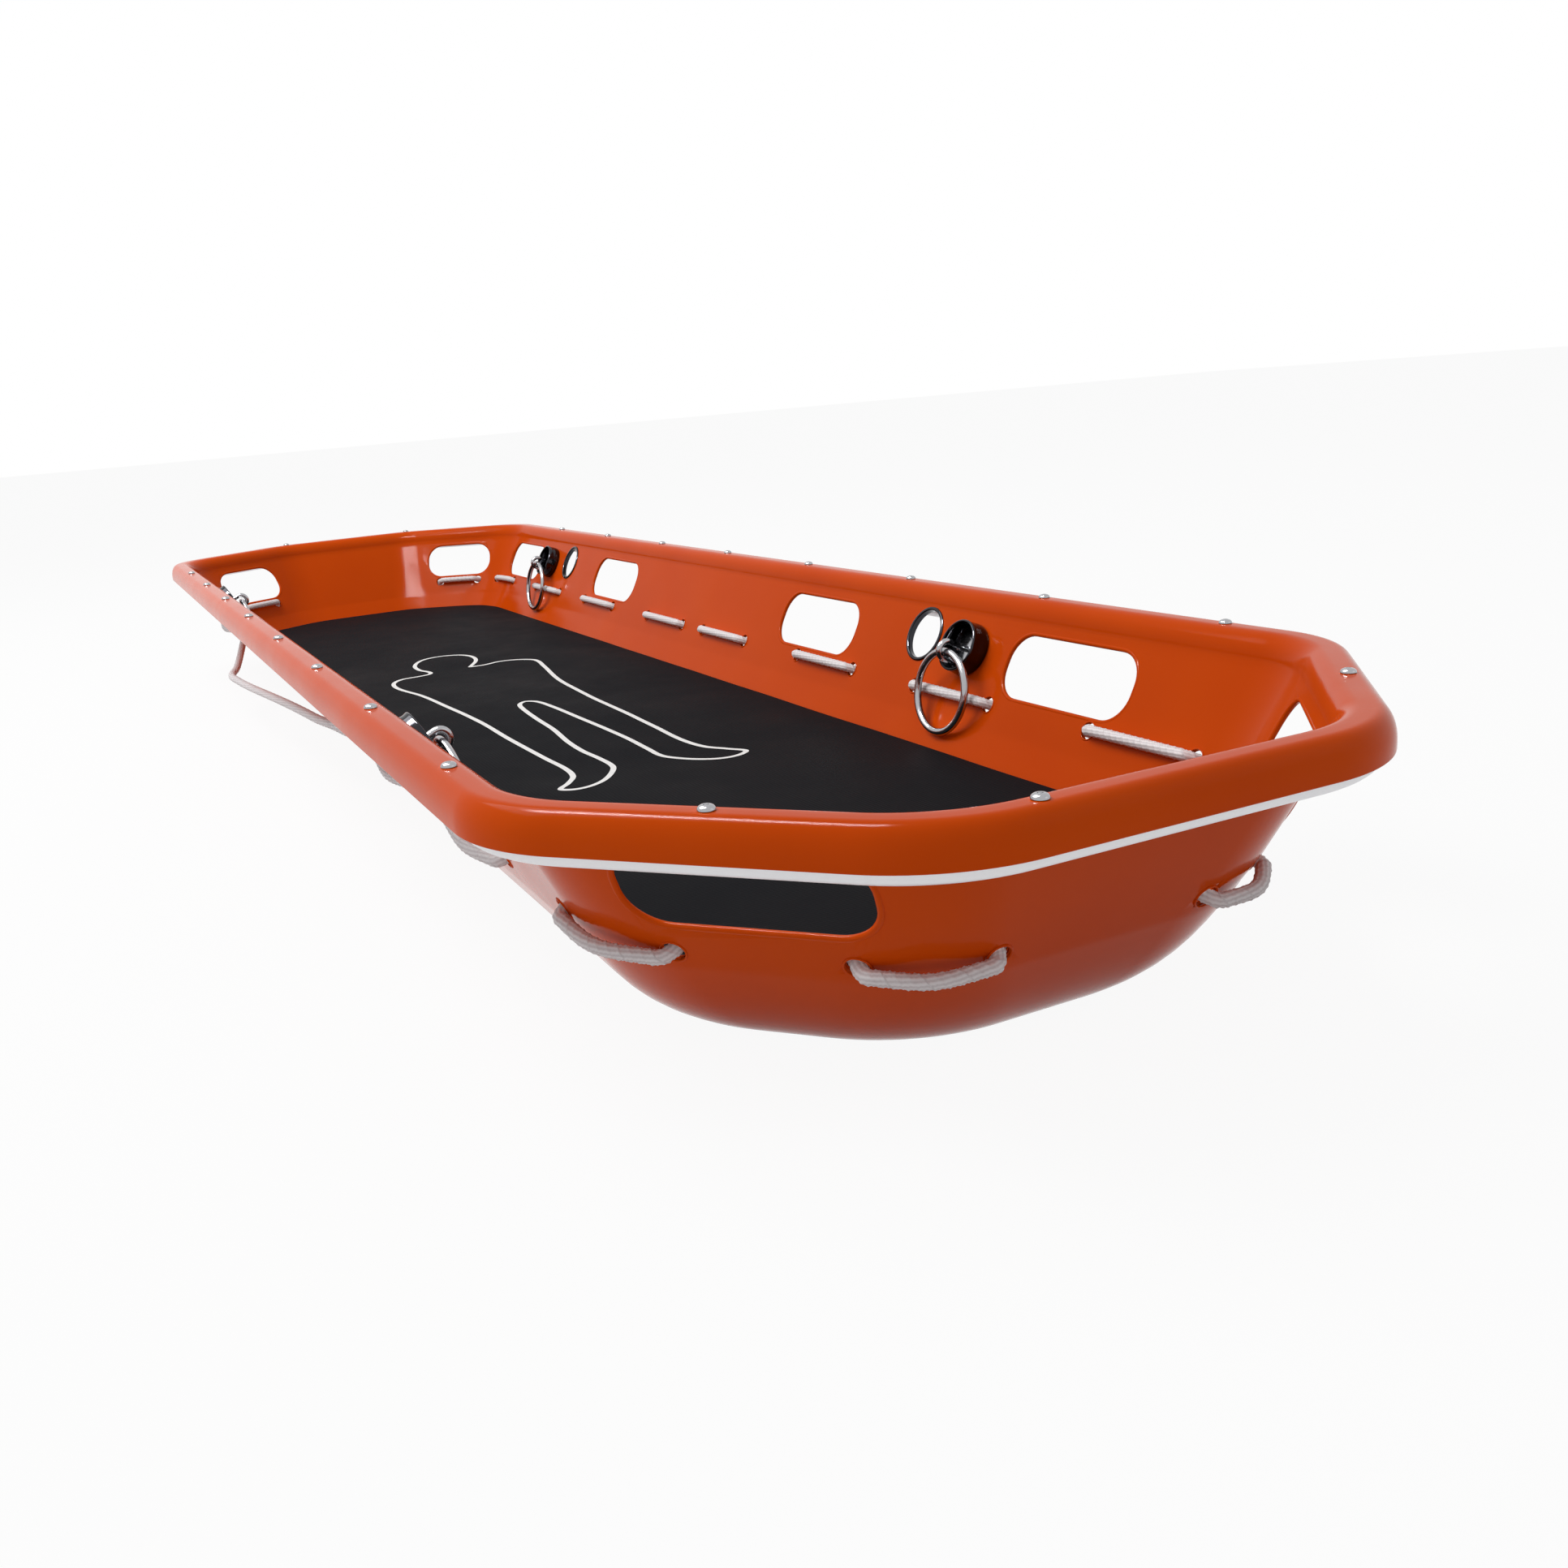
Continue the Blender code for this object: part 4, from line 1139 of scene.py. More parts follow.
@dataclass
class Tray:
    """Moulded shell with its lip, slots and holes."""

    section: TraySection
    openings: Openings
    lacing: Lacing
    sweep: SweepTree
    finish: Material
    lip_edge_radius: float = 0.0011
    edge_radius: float = 0.0021
    edge_gap: float = 0.000945
    hole_edge_radius: float = 0.0007
    hole_edge_gap: float = 0.0004
    cut_depth: float = 0.014

    def shell(self) -> Object:
        """The shell with every opening cut."""
        plan = self.section.plan
        rings = [plan.outline(inset, radius, level) for inset, level, radius in self.section.profile()]
        mesh = grid_mesh("tray", rings)
        bm = bmesh.new()
        bm.from_mesh(mesh)
        bm.verts.ensure_lookup_table()
        bm.faces.new([bm.verts[i] for i in range(len(rings[0]))])
        bmesh.ops.recalc_face_normals(bm, faces=bm.faces)
        floor = min(bm.faces, key=lambda face: face.calc_center_median().z)
        if floor.normal.z < 0:
            bmesh.ops.reverse_faces(bm, faces=bm.faces)
        bm.to_mesh(mesh)
        bm.free()
        tray = new_object("tray", mesh, self.finish)
        sheet = tray.modifiers.new("sheet", "SOLIDIFY")
        sheet.thickness = self.section.wall
        sheet.offset = -1
        sheet.use_even_offset = True
        rounding = tray.modifiers.new("lip_edge", "BEVEL")
        rounding.width = self.lip_edge_radius
        rounding.segments = 3
        rounding.angle_limit = math.radians(60)
        cutter = new_object("cutter", self.cutter_mesh())
        cut = tray.modifiers.new("openings", "BOOLEAN")
        cut.operation = "DIFFERENCE"
        cut.solver = "EXACT"
        cut.object = cutter
        tray.modifiers.new("even_shading", "WEIGHTED_NORMAL").keep_sharp = True
        graph = bpy.context.evaluated_depsgraph_get()
        done = bpy.data.meshes.new_from_object(tray.evaluated_get(graph))
        tray.modifiers.clear()
        tray.data = done
        bpy.data.objects.remove(cutter)
        return tray

    def cutter_mesh(self) -> Mesh:
        """Everything that is cut from the wall, as one mesh."""
        deep = self.cut_depth
        parts = []
        for place, length in self.openings.slots():
            ring = self.openings.slot_outline(length)
            ends = [[p + Vector((0, 0, level)) for p in ring] for level in (-deep, deep)]
            parts.append((grid_mesh("slot", ends, caps=True), place))
        for place in self.openings.eyelets().values():
            parts.append((self.rod("bore", self.openings.eyelet_hole, 40), place))
        hole = self.rod("lace", self.lacing.hole_radius, 20)
        for lace in self.lacing.laces():
            parts += [(hole, self.lacing.line.frame(station)) for station in lace]
        return joined("cutters", parts)

    def rod(self, name: str, radius: float, steps: int) -> Mesh:
        """A plain rod that cuts a round hole."""
        deep = self.cut_depth
        return turned(name, [(0.0, deep), (radius, deep), (radius, -deep), (0.0, -deep)], steps)

    def edges(self) -> list[Object]:
        """Rounded moulded edges round the slots and the rope holes."""
        middle = Vector((0, 0, -self.section.wall / 2))
        loops = []
        for place, length in self.openings.slots():
            outline = self.openings.slot_outline(length, grow_by=self.edge_gap)
            loops.append([place @ (p + middle) for p in outline])
        wire = self.sweep.wire
        slots = wire("hand_slot_edges", loops, self.edge_radius, self.finish, sides=12, closed=True)
        reach = self.lacing.hole_radius + self.hole_edge_gap
        rings = []
        for station in (station for lace in self.lacing.laces() for station in lace):
            place = self.lacing.line.frame(station)
            for level in (0.0, -self.section.wall):
                rings.append([place @ p for p in circle(reach, 20, level)])
        holes = wire("rope_hole_edges", rings, self.hole_edge_radius, self.finish, sides=8, closed=True)
        return [slots, holes]

    def build(self) -> None:
        """Makes the shell and its edges, and sets them on the basket."""
        shell = self.shell()
        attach(shell, "basket")
        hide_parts("tray_shell")
        for piece in self.edges():
            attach(piece, "basket")
        log.info("tray: %d faces", len(shell.data.polygons))


@dataclass
class TubeFrame:
    """Bent tube under the lip, in two halves that meet on the long sides."""

    section: TraySection
    sweep: SweepTree
    finish: Material
    radius: float = 0.0115
    drop: float = 0.0225
    inset: float = 0.0010
    seam: float = 0.0008
    seam_x: float = -0.17375

    def path(self, end: End) -> list[Vector]:
        """Centre line of one half."""
        plan = self.section.plan
        corners = plan.inset(self.inset)
        y = end.value * (plan.half_width - self.inset)
        joint = self.seam_x + end.value * self.seam / 2
        points = [Vector((joint, -y))]
        for index in (0, 1, 2, 3) if end is End.FOOT else (4, 5, 6, 7):
            points += plan.arc(corners, index, self.section.rim_radius - self.inset)
        points.append(Vector((joint, y)))
        return [Vector((p.x, p.y, self.section.height - self.drop)) for p in points]

    def build(self) -> None:
        """Makes both halves."""
        for end in End:
            name = f"frame_{end.name.lower()}_half"
            tube = self.sweep.wire(name, [self.path(end)], self.radius, self.finish, sides=32)
            tube.data.set_sharp_from_angle(angle=math.radians(50))
            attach(tube, "basket")
            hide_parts(f"frame_tube_{end.name.lower()}")
        log.info("frame: two halves")


@dataclass
class RimRivets:
    """Blind rivets along the lip, each a dome with a dimple round its broken stem."""

    section: TraySection
    scatter: ScatterTree
    finish: Material
    head_radius: float = 0.0049
    head_height: float = 0.0030
    lift: float = 0.0002

    def rivet(self) -> Mesh:
        """One rivet, with its foot at the origin."""
        reach = self.head_radius
        rise = self.head_height
        # The stem, the dimple round it and the dome's crown, as shares of the head's size.
        shares = ((0.0, 0.70), (0.17, 0.68), (0.20, 0.52), (0.26, 0.56), (0.33, 0.96))
        profile = [(reach * across, rise * up) for across, up in shares]
        profile += bow((0.25 * reach, 0.12 * rise), 0.75 * reach, 0.88 * rise, (78, 62, 45, 28, 12))
        profile += [(reach, rise * 0.08), (reach * 0.96, 0.0), (0.0, 0.0)]
        return turned("blind_rivet", profile, 28)

    def build(self) -> None:
        """Sets a rivet where each CAD rivet stands."""
        nodes = sorted(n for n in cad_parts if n.startswith("rim_rivet_"))
        level = self.section.height + self.lift
        points = []
        for name in nodes:
            low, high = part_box(name)
            points.append([Vector(((low.x + high.x) / 2, (low.y + high.y) / 2, level))])
        piece = new_object("rivet_piece", self.rivet())
        values = {"Piece": piece, "Turn Range": math.tau, "Seed": 7, "Material": self.finish}
        made = self.scatter.grow("rim_rivets", points, values)
        bpy.data.objects.remove(piece)
        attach(made, "basket")
        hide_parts(*nodes)
        log.info("rivets: %d", len(nodes))


@dataclass
class GrabRope:
    """Three-strand rope laced round the tray, with its knot at the head end."""

    lacing: Lacing
    tree: LaidRopeTree
    finish: Material
    lay_length: float = 0.021
    # Share of the radius that the grooves between the strands go down to.
    groove_floor: float = 0.92
    step: float = 0.0026
    knot_turns: float = 2.6
    knot_steps: int = 16

    def profile(self) -> Object:
        """Closed outline of three strands that touch, with the grooves part filled."""
        reach = self.lacing.rope_radius
        strand = reach / (1 + 2 / math.sqrt(3))
        away = reach - strand
        points = []
        for step in range(24):
            turn = math.tau * step / 24
            fold = (turn + math.pi / 3) % (math.tau / 3) - math.pi / 3
            under = max(strand**2 - (away * math.sin(fold)) ** 2, 0.0)
            radius = max(away * math.cos(fold) + math.sqrt(under), self.groove_floor * reach)
            points.append(Vector((radius * math.cos(turn), radius * math.sin(turn), 0)))
        return new_object("rope_profile", path_mesh("rope_profile", [points], closed=True))

    def knot_path(self) -> list[Vector]:
        """Wraps of a barrel knot round the two ends."""
        lacing = self.lacing
        place = lacing.line.frame(0)
        lift = -lacing.line.section.wall - lacing.knot_radius - lacing.gap
        reach = lacing.knot_radius - lacing.rope_radius
        half = lacing.knot_length / 2 - lacing.rope_radius
        count = self.knot_turns * self.knot_steps
        points = []
        for part in (step / count for step in range(int(count) + 1)):
            angle = math.tau * self.knot_turns * part
            height = lift + reach * math.cos(angle)
            points.append(place @ Vector((half * (2 * part - 1), reach * math.sin(angle), height)))
        return points

    def build(self) -> None:
        """Makes the rope and its knot."""
        profile = self.profile()
        values = {
            "Profile": profile,
            "Step": self.step,
            "Lay Length": self.lay_length,
            "Material": self.finish,
        }
        rope = self.tree.grow("laced_rope", [through(self.lacing.route(), steps=5)], values)
        knot = self.tree.grow("barrel_knot", [self.knot_path()], values)
        bpy.data.objects.remove(profile)
        for piece, node in ((rope, "grab_rope"), (knot, "rope_knot")):
            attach(piece, "basket")
            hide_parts(node)
        log.info("rope: %d faces", len(rope.data.polygons))


@dataclass
class SideFittings:
    """Eyelets and lifting fittings on the long sides."""

    openings: Openings
    sweep: SweepTree
    steel: Material
    # Steel whose dark colour is a painted dark reflection, for the cups and eyelet liners.
    dark: Material
    bore: float = 0.0240
    sleeve: float = 0.0016
    flange: float = 0.0020
    wall: float = 0.0035
    seat: float = 0.0003
    cup_base: float = 0.0255
    cup_mouth: float = 0.0235
    cup_depth: float = 0.0190
    cup_wall: float = 0.0018
    eye_foot_radius: float = 0.0170
    eye_foot: float = 0.0025
    eye_wire: float = 0.0030
    eye_inner: float = 0.0050
    eye_height: float = 0.0265
    eye_drop: float = 0.0080
    ring_wire: float = 0.0035
    ring_radius: float = 0.0375
    ring_angle: float = 15.0
    ring_play: float = 0.0003
    fixing_spacing: float = 0.0240
    fixing_radius: float = 0.0048
    head_height: float = 0.0032
    tail_height: float = 0.0022
    backing_radius: float = 0.0220
    backing: float = 0.0020
    # How far the edges of the cup and the eye's foot are eased, and those of the plate.
    ease: float = 0.0010
    plate_ease: float = 0.0006

    def eyelet(self) -> Mesh:
        """Liner of a round hole, rolled over both faces of the wall."""
        outer = self.bore + self.sleeve
        middle = self.bore + (self.sleeve + self.flange) / 2
        half_width = (self.sleeve + self.flange) / 2
        half = self.wall / 2 + self.seat
        roll = self.sleeve * 0.9
        profile = []
        for face, order in ((1, range(0, 181, 20)), (-1, range(180, -1, -20))):
            for angle in order:
                turn = math.radians(angle)
                height = -self.wall / 2 + face * (half + roll * math.sin(turn) ** 0.7)
                profile.append((middle - half_width * math.cos(turn), height))
            if face == 1:
                profile += [(outer, -self.wall / 2 + half), (outer, -self.wall / 2 - half)]
        return turned("eyelet", profile, 56)

    def cup(self) -> Mesh:
        """Pressed dish with a rolled rim and a stepped bottom."""
        base = self.cup_base
        thick = self.cup_wall
        top = self.cup_depth
        low = self.seat
        narrowing = self.cup_mouth - base
        profile = [(0.0, low + thick), (base * 0.72, low + thick), (base * 0.80, low + thick * 1.5)]
        for part in (0.12, 0.3, 0.55, 0.8):
            profile.append((base - thick + narrowing * part**2, low + thick + (top - 2 * thick) * part))
        profile += bow((self.cup_mouth, top - thick), 0.75 * thick, 0.9 * thick, range(180, -1, -30))
        for part in (0.78, 0.5, 0.25, 0.1):
            profile.append((base + narrowing * part**2, low + (top - thick) * part))
        return turned("pressed_cup", profile + [(base - self.ease, low), (0.0, low)], 56)

    def eye_foot_mesh(self) -> Mesh:
        """Round foot plate of the eye, with an eased edge."""
        low = self.seat * 2 + self.cup_wall
        top = low + self.eye_foot
        reach = self.eye_foot_radius
        slight = 0.3 * self.ease
        profile = [(0.0, top), (reach - self.ease, top), (reach - slight, top - slight)]
        profile += [(reach, top - self.ease), (reach, low + self.seat), (0.0, low + self.seat)]
        return turned("eye_foot", profile, 48)

    def staple_path(self) -> list[Vector]:
        """Bent wire of the eye, standing across the ring."""
        low = self.seat * 2 + self.cup_wall
        reach = self.eye_inner + self.eye_wire
        angles = [180 - 180 * step / 16 for step in range(17)]
        arch = bow((-self.eye_drop, self.eye_height), reach, reach, angles)
        points = [(-self.eye_drop - reach, low), *arch, (-self.eye_drop + reach, low)]
        return [Vector((0, y, z)) for y, z in points]

    def ring_path(self) -> list[Vector]:
        """Circle of the ring, hanging from its top at the eye."""
        drop = self.eye_drop + self.eye_inner - self.ring_wire - self.ring_play
        lean = Matrix.Rotation(math.radians(self.ring_angle), 4, "X")
        place = Matrix.Translation((0, -drop, self.eye_height)) @ lean
        turns = [math.tau * step / 72 for step in range(72)]
        reach = self.ring_radius
        return [place @ Vector((reach * math.sin(t), reach * (math.cos(t) - 1), 0)) for t in turns]

    def fixing(self, low: float, height: float) -> Mesh:
        """Domed end of a fixing rivet.

        Args:
            low: Level of its foot.
            height: Height of the dome, negative where it points out of the tray.

        Returns:
            The mesh.
        """
        radius = self.fixing_radius
        dome = bow((0.0, low + 0.1 * height), radius, 0.9 * height, (72, 52, 32, 12))
        return turned("fixing_head", [(0.0, low + height), *dome, (radius, low), (0.0, low)], 24)

    def backing_plate(self) -> Mesh:
        """Round washer plate on the outside of the wall."""
        top = -self.wall - self.seat
        low = top - self.backing
        reach = self.backing_radius
        ease = self.plate_ease
        profile = [(0.0, top), (reach - ease / 3, top), (reach, top - ease / 2)]
        profile += [(reach, low + ease), (reach - ease, low), (0.0, low)]
        return turned("backing_plate", profile, 48)

    def build(self) -> None:
        """Makes every eyelet and lifting fitting."""
        for name, place in self.openings.eyelets().items():
            liner = placed("eyelet_liner_" + name, self.eyelet(), place, self.dark)
            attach(liner, "basket")
            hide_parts("eyelet_" + name)
        places = self.openings.fittings()
        for name, place in places.items():
            self.fitting(name, place)
        log.info("side fittings: %d", len(places))

    def fitting(self, name: str, place: Matrix) -> None:
        """Makes one lifting fitting.

        Args:
            name: Corner that the fitting stands at.
            place: Its place on the wall.
        """
        dish = placed("pressed_cup_" + name, self.cup(), place, self.dark)
        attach(dish, "basket")
        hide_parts("ring_cup_" + name)
        staple = [place @ p for p in self.staple_path()]
        wire = self.sweep.wire("staple_" + name, [staple], self.eye_wire, self.steel, sides=20)
        eye = placed("eye_foot_" + name, self.eye_foot_mesh(), place, self.steel)
        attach(eye, "basket")
        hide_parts("ring_eye_" + name)
        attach(wire, "basket")
        head_low = self.seat * 2 + self.cup_wall + self.eye_foot
        tail_low = -self.wall - self.seat - self.backing
        ends = []
        for side in (-1, 1):
            spot = place @ Matrix.Translation((side * self.fixing_spacing / 2, 0, 0))
            ends.append((self.fixing(head_low, self.head_height), spot))
            ends.append((self.fixing(tail_low, -self.tail_height), spot))
        fixings = new_object("fixings_" + name, joined("fixings_" + name, ends), self.steel)
        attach(fixings, "basket")
        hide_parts(f"ring_rivet_{name}_a", f"ring_rivet_{name}_b")
        plate = placed("washer_plate_" + name, self.backing_plate(), place, self.steel)
        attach(plate, "basket")
        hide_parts("ring_backing_plate_" + name)
        loops = [[place @ p for p in self.ring_path()]]
        ring = self.sweep.wire("ring_" + name, loops, self.ring_wire, self.steel, sides=24, closed=True)
        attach(ring, "ring_" + name)
        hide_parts("lifting_ring_" + name)


@dataclass
class Mattress:
    """Foam pad in a black cover, with the outline of a lying figure printed on it."""

    section: TraySection
    cover: Material
    ink: Material
    top: float = 0.0555
    crown: float = 0.0025
    # Distance from the pad's edge over which its top rises to the crown.
    crown_run: float = 0.09
    gap: float = 0.0025
    edge_radius: float = 0.0080
    # Least drop from the rolled edge to the next ring, and the play under the pad.
    edge_step: float = 0.003
    floor_play: float = 0.0004
    line_width: float = 0.0055
    print_lift: float = 0.00035
    # Outline of a figure lying on its back, in mm: head, left arm side, legs, right side.
    figure: tuple[tuple[int, int], ...] = (
        (-265, -6), (-309, 15), (-348, 19), (-375, 8), (-385, -17), (-372, -45), (-338, -64), (-300, -67),
        (-272, -60), (-258, -63), (-252, -78), (-248, -102), (-225, -119), (-186, -122), (-117, -110),
        (-19, -101), (54, -96), (124, -94), (195, -94), (312, -91), (359, -89), (394, -93), (414, -105),
        (428, -117), (437, -108), (438, -92), (429, -76), (408, -60), (387, -51), (351, -50), (308, -52),
        (259, -50), (192, -43), (126, -40), (60, -35), (34, -30), (24, -20), (36, -10), (82, -5),
        (156, -2), (226, 1), (291, 3), (347, 2), (381, 2), (403, 12), (421, 27), (431, 43), (431, 60),
        (421, 72), (403, 62), (378, 48), (335, 43), (262, 45), (145, 47), (60, 48), (-21, 51), (-92, 58),
        (-187, 73), (-239, 78), (-262, 62), (-271, 38), (-264, 14),
    )
    rows: int = 220
    columns: int = 48
    # The cover is a little loose, so its edge wanders by this much, so often to the metre.
    edge_wave: float = 0.0011
    edge_waves: float = 9.0
    swell_height: float = 0.0010
    fold_height: float = 0.0016
    # Steepness by which the creases set in from the pad's edge.
    crease_onset: float = 2.5
    # The creases' own rise would lift the middle of the top by about this much.
    crease_offset: float = 0.0006

    def tray_inset(self, level: float) -> float:
        """Inset of the tray's inside at a level."""
        profile = self.section.profile()
        for (low_inset, low, _), (high_inset, high, _) in zip(profile, profile[1:]):
            if low <= level <= high:
                return low_inset + (high_inset - low_inset) * (level - low) / (high - low)
        return profile[0][0]

    @property
    def side_top(self) -> float:
        """Level at which the pad's edge starts to roll over."""
        return self.top - self.crown - self.edge_radius

    @property
    def top_inset(self) -> float:
        """Inset from the rim of the edge of the pad's flat top."""
        return self.tray_inset(self.side_top) + self.gap + self.edge_radius

    def creases(self, x: float, y: float) -> float:
        """Height of the cover's slack creases at a point."""
        # x and y are multiplied by waves to the metre; the last value picks a slice of the noise.
        swell = noise.noise(Vector((x * 3.1, y * 7.0, 0.3)))
        fold = noise.noise(Vector((x * 7.0 + y * 9.0 + 4.0, y * 16.0 - x * 3.0, 1.7)))
        return self.swell_height * swell + self.fold_height * max(0.0, fold) ** 1.4

    def surface(self, x: float, y: float) -> float:
        """Height of the pad's top at a point."""
        share = held((self.section.plan.depth(x, y) - self.top_inset) / self.crown_run)
        rise = self.crown * (1 - (1 - share) ** 2) - self.crease_offset * share
        onset = min(1.0, self.crease_onset * share)
        return self.top - self.crown + rise + self.creases(x, y) * onset

    def top_rows(self) -> list[list[Vector]]:
        """Rows of the pad's top, one across the tray at each station along it."""
        plan = self.section.plan
        outline = plan.outline(self.top_inset, self.section.bilge_radius, 0.0)
        edge = sorted((p.x, p.y) for p in outline if p.y > 0)
        reach = edge[-1][0]
        made = []
        for step in range(self.rows + 1):
            x = reach * math.sin(math.pi * (step / self.rows - 0.5))
            for (x0, y0), (x1, y1) in zip(edge, edge[1:]):
                if x <= x1:
                    half = y0 + (y1 - y0) * max(0.0, x - x0) / (x1 - x0)
                    break
            across = [half * (2 * column / self.columns - 1) for column in range(self.columns + 1)]
            made.append([Vector((x, y, self.surface(x, y))) for y in across])
        return made

    def side_rings(self) -> list[Pair]:
        """(reach past the flat top's edge, level) of each ring, from the edge to the floor."""
        made = bow((0.0, self.side_top), self.edge_radius, self.edge_radius, range(75, -1, -15))
        for inset, level, _ in reversed(self.section.floor_curve()):
            if level < self.side_top - self.edge_step:
                made.append((self.top_inset - inset - self.gap, level + self.floor_play))
        return made

    def pad_mesh(self) -> Mesh:
        """The closed pad: a grid over its top, a rolled edge, and its sides down to the floor."""
        bm = bmesh.new()
        rows = [[bm.verts.new(point) for point in row] for row in self.top_rows()]
        quads(bm, rows, wrap=False)
        left = [row[0] for row in rows]
        right = [row[-1] for row in reversed(rows)]
        edge = left + rows[-1][1:-1] + right + rows[0][-2:0:-1]
        count = len(edge)
        outward = []
        for index in range(count):
            run = edge[(index + 1) % count].co - edge[index - 1].co
            outward.append(Vector((run.y, -run.x, 0)).normalized())
        rings = [edge]
        for reach, level in self.side_rings():
            ring = []
            for vert, out in zip(edge, outward):
                wave = self.edge_wave * noise.noise(vert.co * self.edge_waves)
                point = vert.co + out * (reach + wave)
                ring.append(bm.verts.new((point.x, point.y, level)))
            rings.append(ring)
        quads(bm, rings, wrap=True)
        bm.faces.new(rings[-1])
        bmesh.ops.recalc_face_normals(bm, faces=bm.faces)
        return kept(bm, bpy.data.meshes.new("mattress_pad"), math.radians(60))

    def print_piece(self, pad: Object) -> Object:
        """The printed line, a flat ribbon that follows the cover's surface.

        Args:
            pad: The pad that it is printed on.

        Returns:
            The ribbon as an object.
        """
        points = [Vector((x / 1000, y / 1000, 0)) for x, y in self.figure]
        points = through(points + points[:1], steps=8)[:-1]
        count = len(points)
        strips: tuple[list[Vector], list[Vector]] = ([], [])
        for index, point in enumerate(points):
            run = (points[(index + 1) % count] - points[index - 1]).normalized()
            half = Vector((-run.y, run.x, 0)) * self.line_width / 2
            for strip, spot in zip(strips, (point + half, point - half)):
                _, place, _, _ = pad.ray_cast(Vector((spot.x, spot.y, 0.2)), Vector((0, 0, -1)))
                strip.append(place + Vector((0, 0, self.print_lift)))
        return new_object("printed_figure", grid_mesh("printed_figure", list(strips)), self.ink)

    def build(self) -> None:
        """Makes the pad and its print."""
        pad = new_object("mattress_pad", self.pad_mesh(), self.cover)
        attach(pad, "basket")
        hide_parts("mattress")
        figure = self.print_piece(pad)
        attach(figure, "basket")
        log.info("mattress: %d faces", len(pad.data.polygons))


# Studio


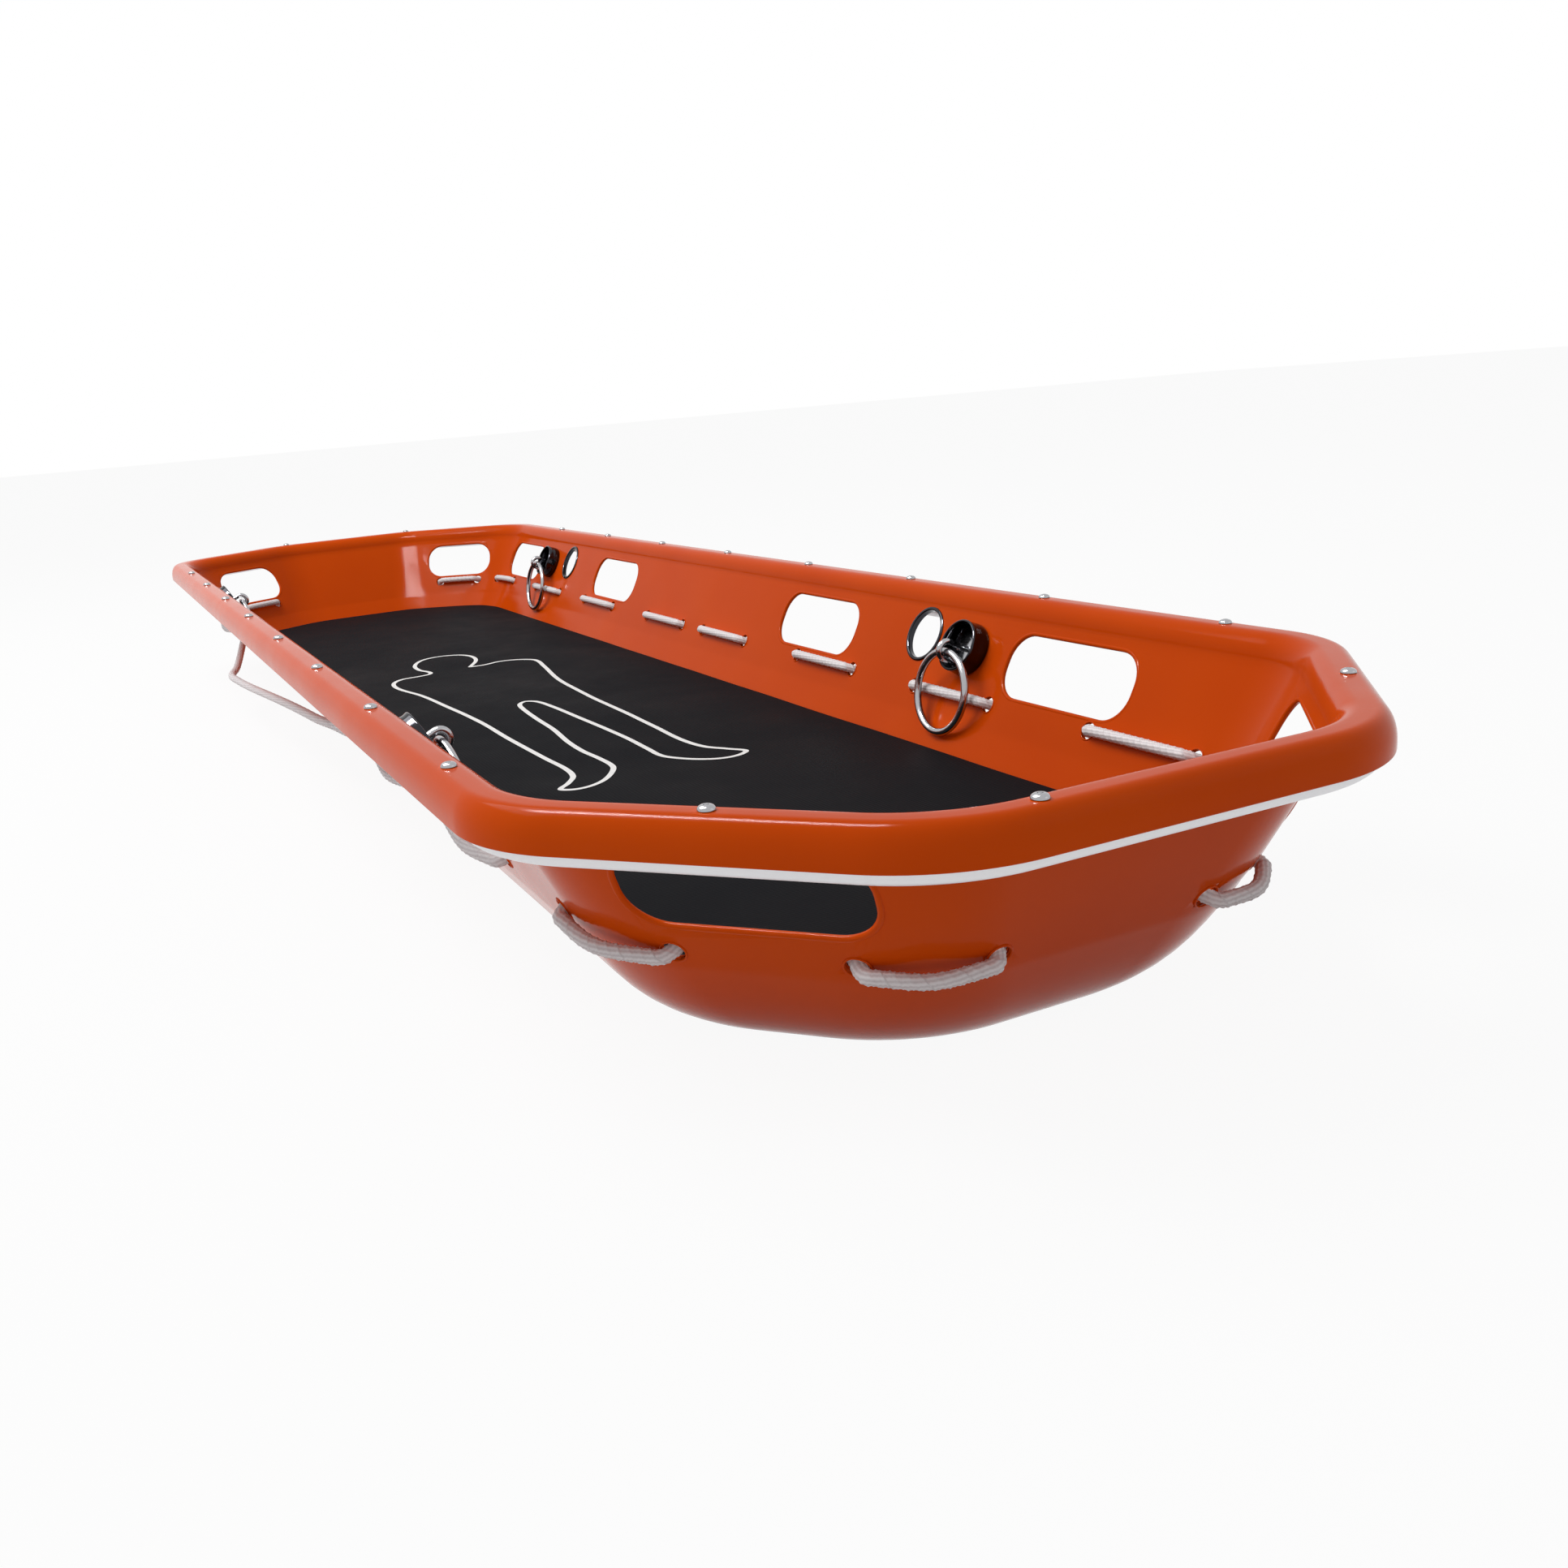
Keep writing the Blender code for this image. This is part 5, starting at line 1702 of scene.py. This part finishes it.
@dataclass
class Studio:
    """Floor, soft light and the camera."""

    camera_place: Triple = (1.5853, -0.4808, 0.3777)
    yaw: float = 155.1755
    pitch: float = -16.3751
    roll: float = -4.7199
    lens: float = 31.997
    shift: Pair = (0.030, 0.015)
    floor_size: float = 60
    floor_gap: float = 0.0005
    floor_grey: float = 0.74
    # Share of the floor that glows white where the camera sees it; the rest keeps a shadow.
    floor_glow: float = 0.93
    soft_light: float = 0.44

    def camera(self) -> None:
        """Sets the camera where the photograph was taken from."""
        yaw, pitch, roll = (math.radians(v) for v in (self.yaw, self.pitch, self.roll))
        level = Vector((math.cos(yaw), math.sin(yaw), 0))
        forward = level * math.cos(pitch) + Vector((0, 0, math.sin(pitch)))
        right = Vector((math.sin(yaw), -math.cos(yaw), 0))
        up = right.cross(forward)
        right_rolled = right * math.cos(roll) + up * math.sin(roll)
        up_rolled = up * math.cos(roll) - right * math.sin(roll)
        data = bpy.data.cameras.new("camera")
        data.lens = self.lens
        data.sensor_width = 36.0
        data.shift_x, data.shift_y = self.shift
        data.clip_start = 0.01
        camera = bpy.data.objects.new("camera", data)
        bpy.context.scene.collection.objects.link(camera)
        turn = Matrix((right_rolled, up_rolled, -forward)).transposed().to_4x4()
        turn.translation = Vector(self.camera_place)
        camera.matrix_world = turn
        bpy.context.scene.camera = camera

    def lamp(
        self, name: str, place: Triple, aim: Triple, size: Pair, power: float, only_gloss: bool = False
    ) -> None:
        """Adds an area lamp.

        Args:
            name: Name of the lamp.
            place: Where it hangs.
            aim: The point that it faces.
            size: Width and height.
            power: Power in watts.
            only_gloss: Whether it shows in glossy surfaces alone.
        """
        data = bpy.data.lights.new(name, "AREA")
        data.shape = "RECTANGLE"
        data.size, data.size_y = size
        data.energy = power
        lamp = bpy.data.objects.new(name, data)
        bpy.context.scene.collection.objects.link(lamp)
        lamp.visible_diffuse = not only_gloss
        lamp.location = place
        lamp.rotation_euler = (Vector(aim) - Vector(place)).to_track_quat("-Z", "Y").to_euler()

    def seen(self, graph: Graph) -> NodeSocket:
        """1 for what the camera sees, directly, in a gloss or through glass, and 0 for soft light."""
        path = graph.add("ShaderNodeLightPath").outputs
        shiny = graph.calc("MAXIMUM", path["Is Glossy Ray"], path["Is Transmission Ray"])
        return graph.calc("MAXIMUM", path["Is Camera Ray"], shiny)

    def bare(self, owner: Material | bpy.types.World) -> Graph:
        """Clears the nodes of a material or a world and gives its graph."""
        owner.use_nodes = True
        owner.node_tree.nodes.clear()
        return Graph(owner.node_tree)

    def floor(self) -> None:
        """Lays a plain pale floor that keeps the object's shadow."""
        bpy.ops.mesh.primitive_plane_add(size=self.floor_size, location=(0, 0, -self.floor_gap))
        floor = bpy.context.object
        floor.name = "studio_floor"
        made = bpy.data.materials.new("studio_floor")
        graph = self.bare(made)
        grey = self.floor_grey
        diffuse = graph.out("ShaderNodeBsdfDiffuse", {"Color": (grey, grey, grey, 1)})
        glow = graph.out("ShaderNodeEmission", {"Color": WHITE, "Strength": 1.0})
        share = graph.calc("MULTIPLY", self.seen(graph), self.floor_glow)
        mixed = graph.out("ShaderNodeMixShader", {0: share, 1: diffuse, 2: glow})
        graph.add("ShaderNodeOutputMaterial", {"Surface": mixed})
        floor.data.materials.append(made)

    def world(self) -> None:
        """Lights the scene softly and shows white behind it."""
        world = bpy.data.worlds.new("studio")
        bpy.context.scene.world = world
        graph = self.bare(world)
        soft = graph.out("ShaderNodeBackground", {"Color": WHITE, "Strength": self.soft_light})
        white = graph.out("ShaderNodeBackground", {"Color": WHITE, "Strength": 1.0})
        mixed = graph.out("ShaderNodeMixShader", {0: self.seen(graph), 1: soft, 2: white})
        graph.add("ShaderNodeOutputWorld", {"Surface": mixed})

    def build(self) -> None:
        """Builds the studio."""
        self.floor()
        self.world()
        self.camera()
        middle = (0, 0, 0.1)
        # The soft box hangs where the nearest lip mirrors it as a streak.
        near_lip = (1.0, -0.21, 0.188)
        self.lamp("key", (-0.6, -1.4, 2.6), middle, size=(2.4, 1.6), power=62)
        self.lamp("soft_box", (0.373, -0.778, 2.22), near_lip, size=(0.5, 1.3), power=210, only_gloss=True)
        self.lamp("fill", (2.6, 1.6, 1.4), middle, size=(1.6, 1.2), power=2)
        bpy.context.scene.view_settings.view_transform = "Standard"


def main() -> None:
    """Builds the whole scene."""
    logging.basicConfig(level=logging.INFO, format="%(name)s: %(message)s")
    plastic = MouldedPolyethylene().material()
    tube_finish = DrawnMetal("anodised_aluminium", "E2E2E4", 0.42, 1.5, metallic=0.7).material()
    steel = DrawnMetal("polished_stainless_steel", "A9A9AC", 0.14, 2.5, 0.05).material()
    # Polished steel given a dark colour: a painted dark reflection, used for the cups and the eyelet
    # liners.
    dark = DrawnMetal("dark_chrome_plate", "36363A", 0.10, 3.0, 0.04).material()
    section = TraySection(RimPlan())
    openings = Openings(section)
    lacing = Lacing(WallLine(section))
    sweep = SweepTree()
    Studio().build()
    GrabRope(lacing, LaidRopeTree(), LaidPolyester().material()).build()
    Tray(section, openings, lacing, sweep, plastic).build()
    TubeFrame(section, sweep, tube_finish).build()
    RimRivets(section, ScatterTree(), steel).build()
    SideFittings(openings, sweep, steel, dark).build()
    Mattress(section, CoatedFabric().material(), PrintedInk().material()).build()
    for name in ("frame_splice_left", "frame_splice_right"):
        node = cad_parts[name]
        node.data.materials.clear()
        node.data.materials.append(tube_finish)


if __name__ == "__main__":
    main()
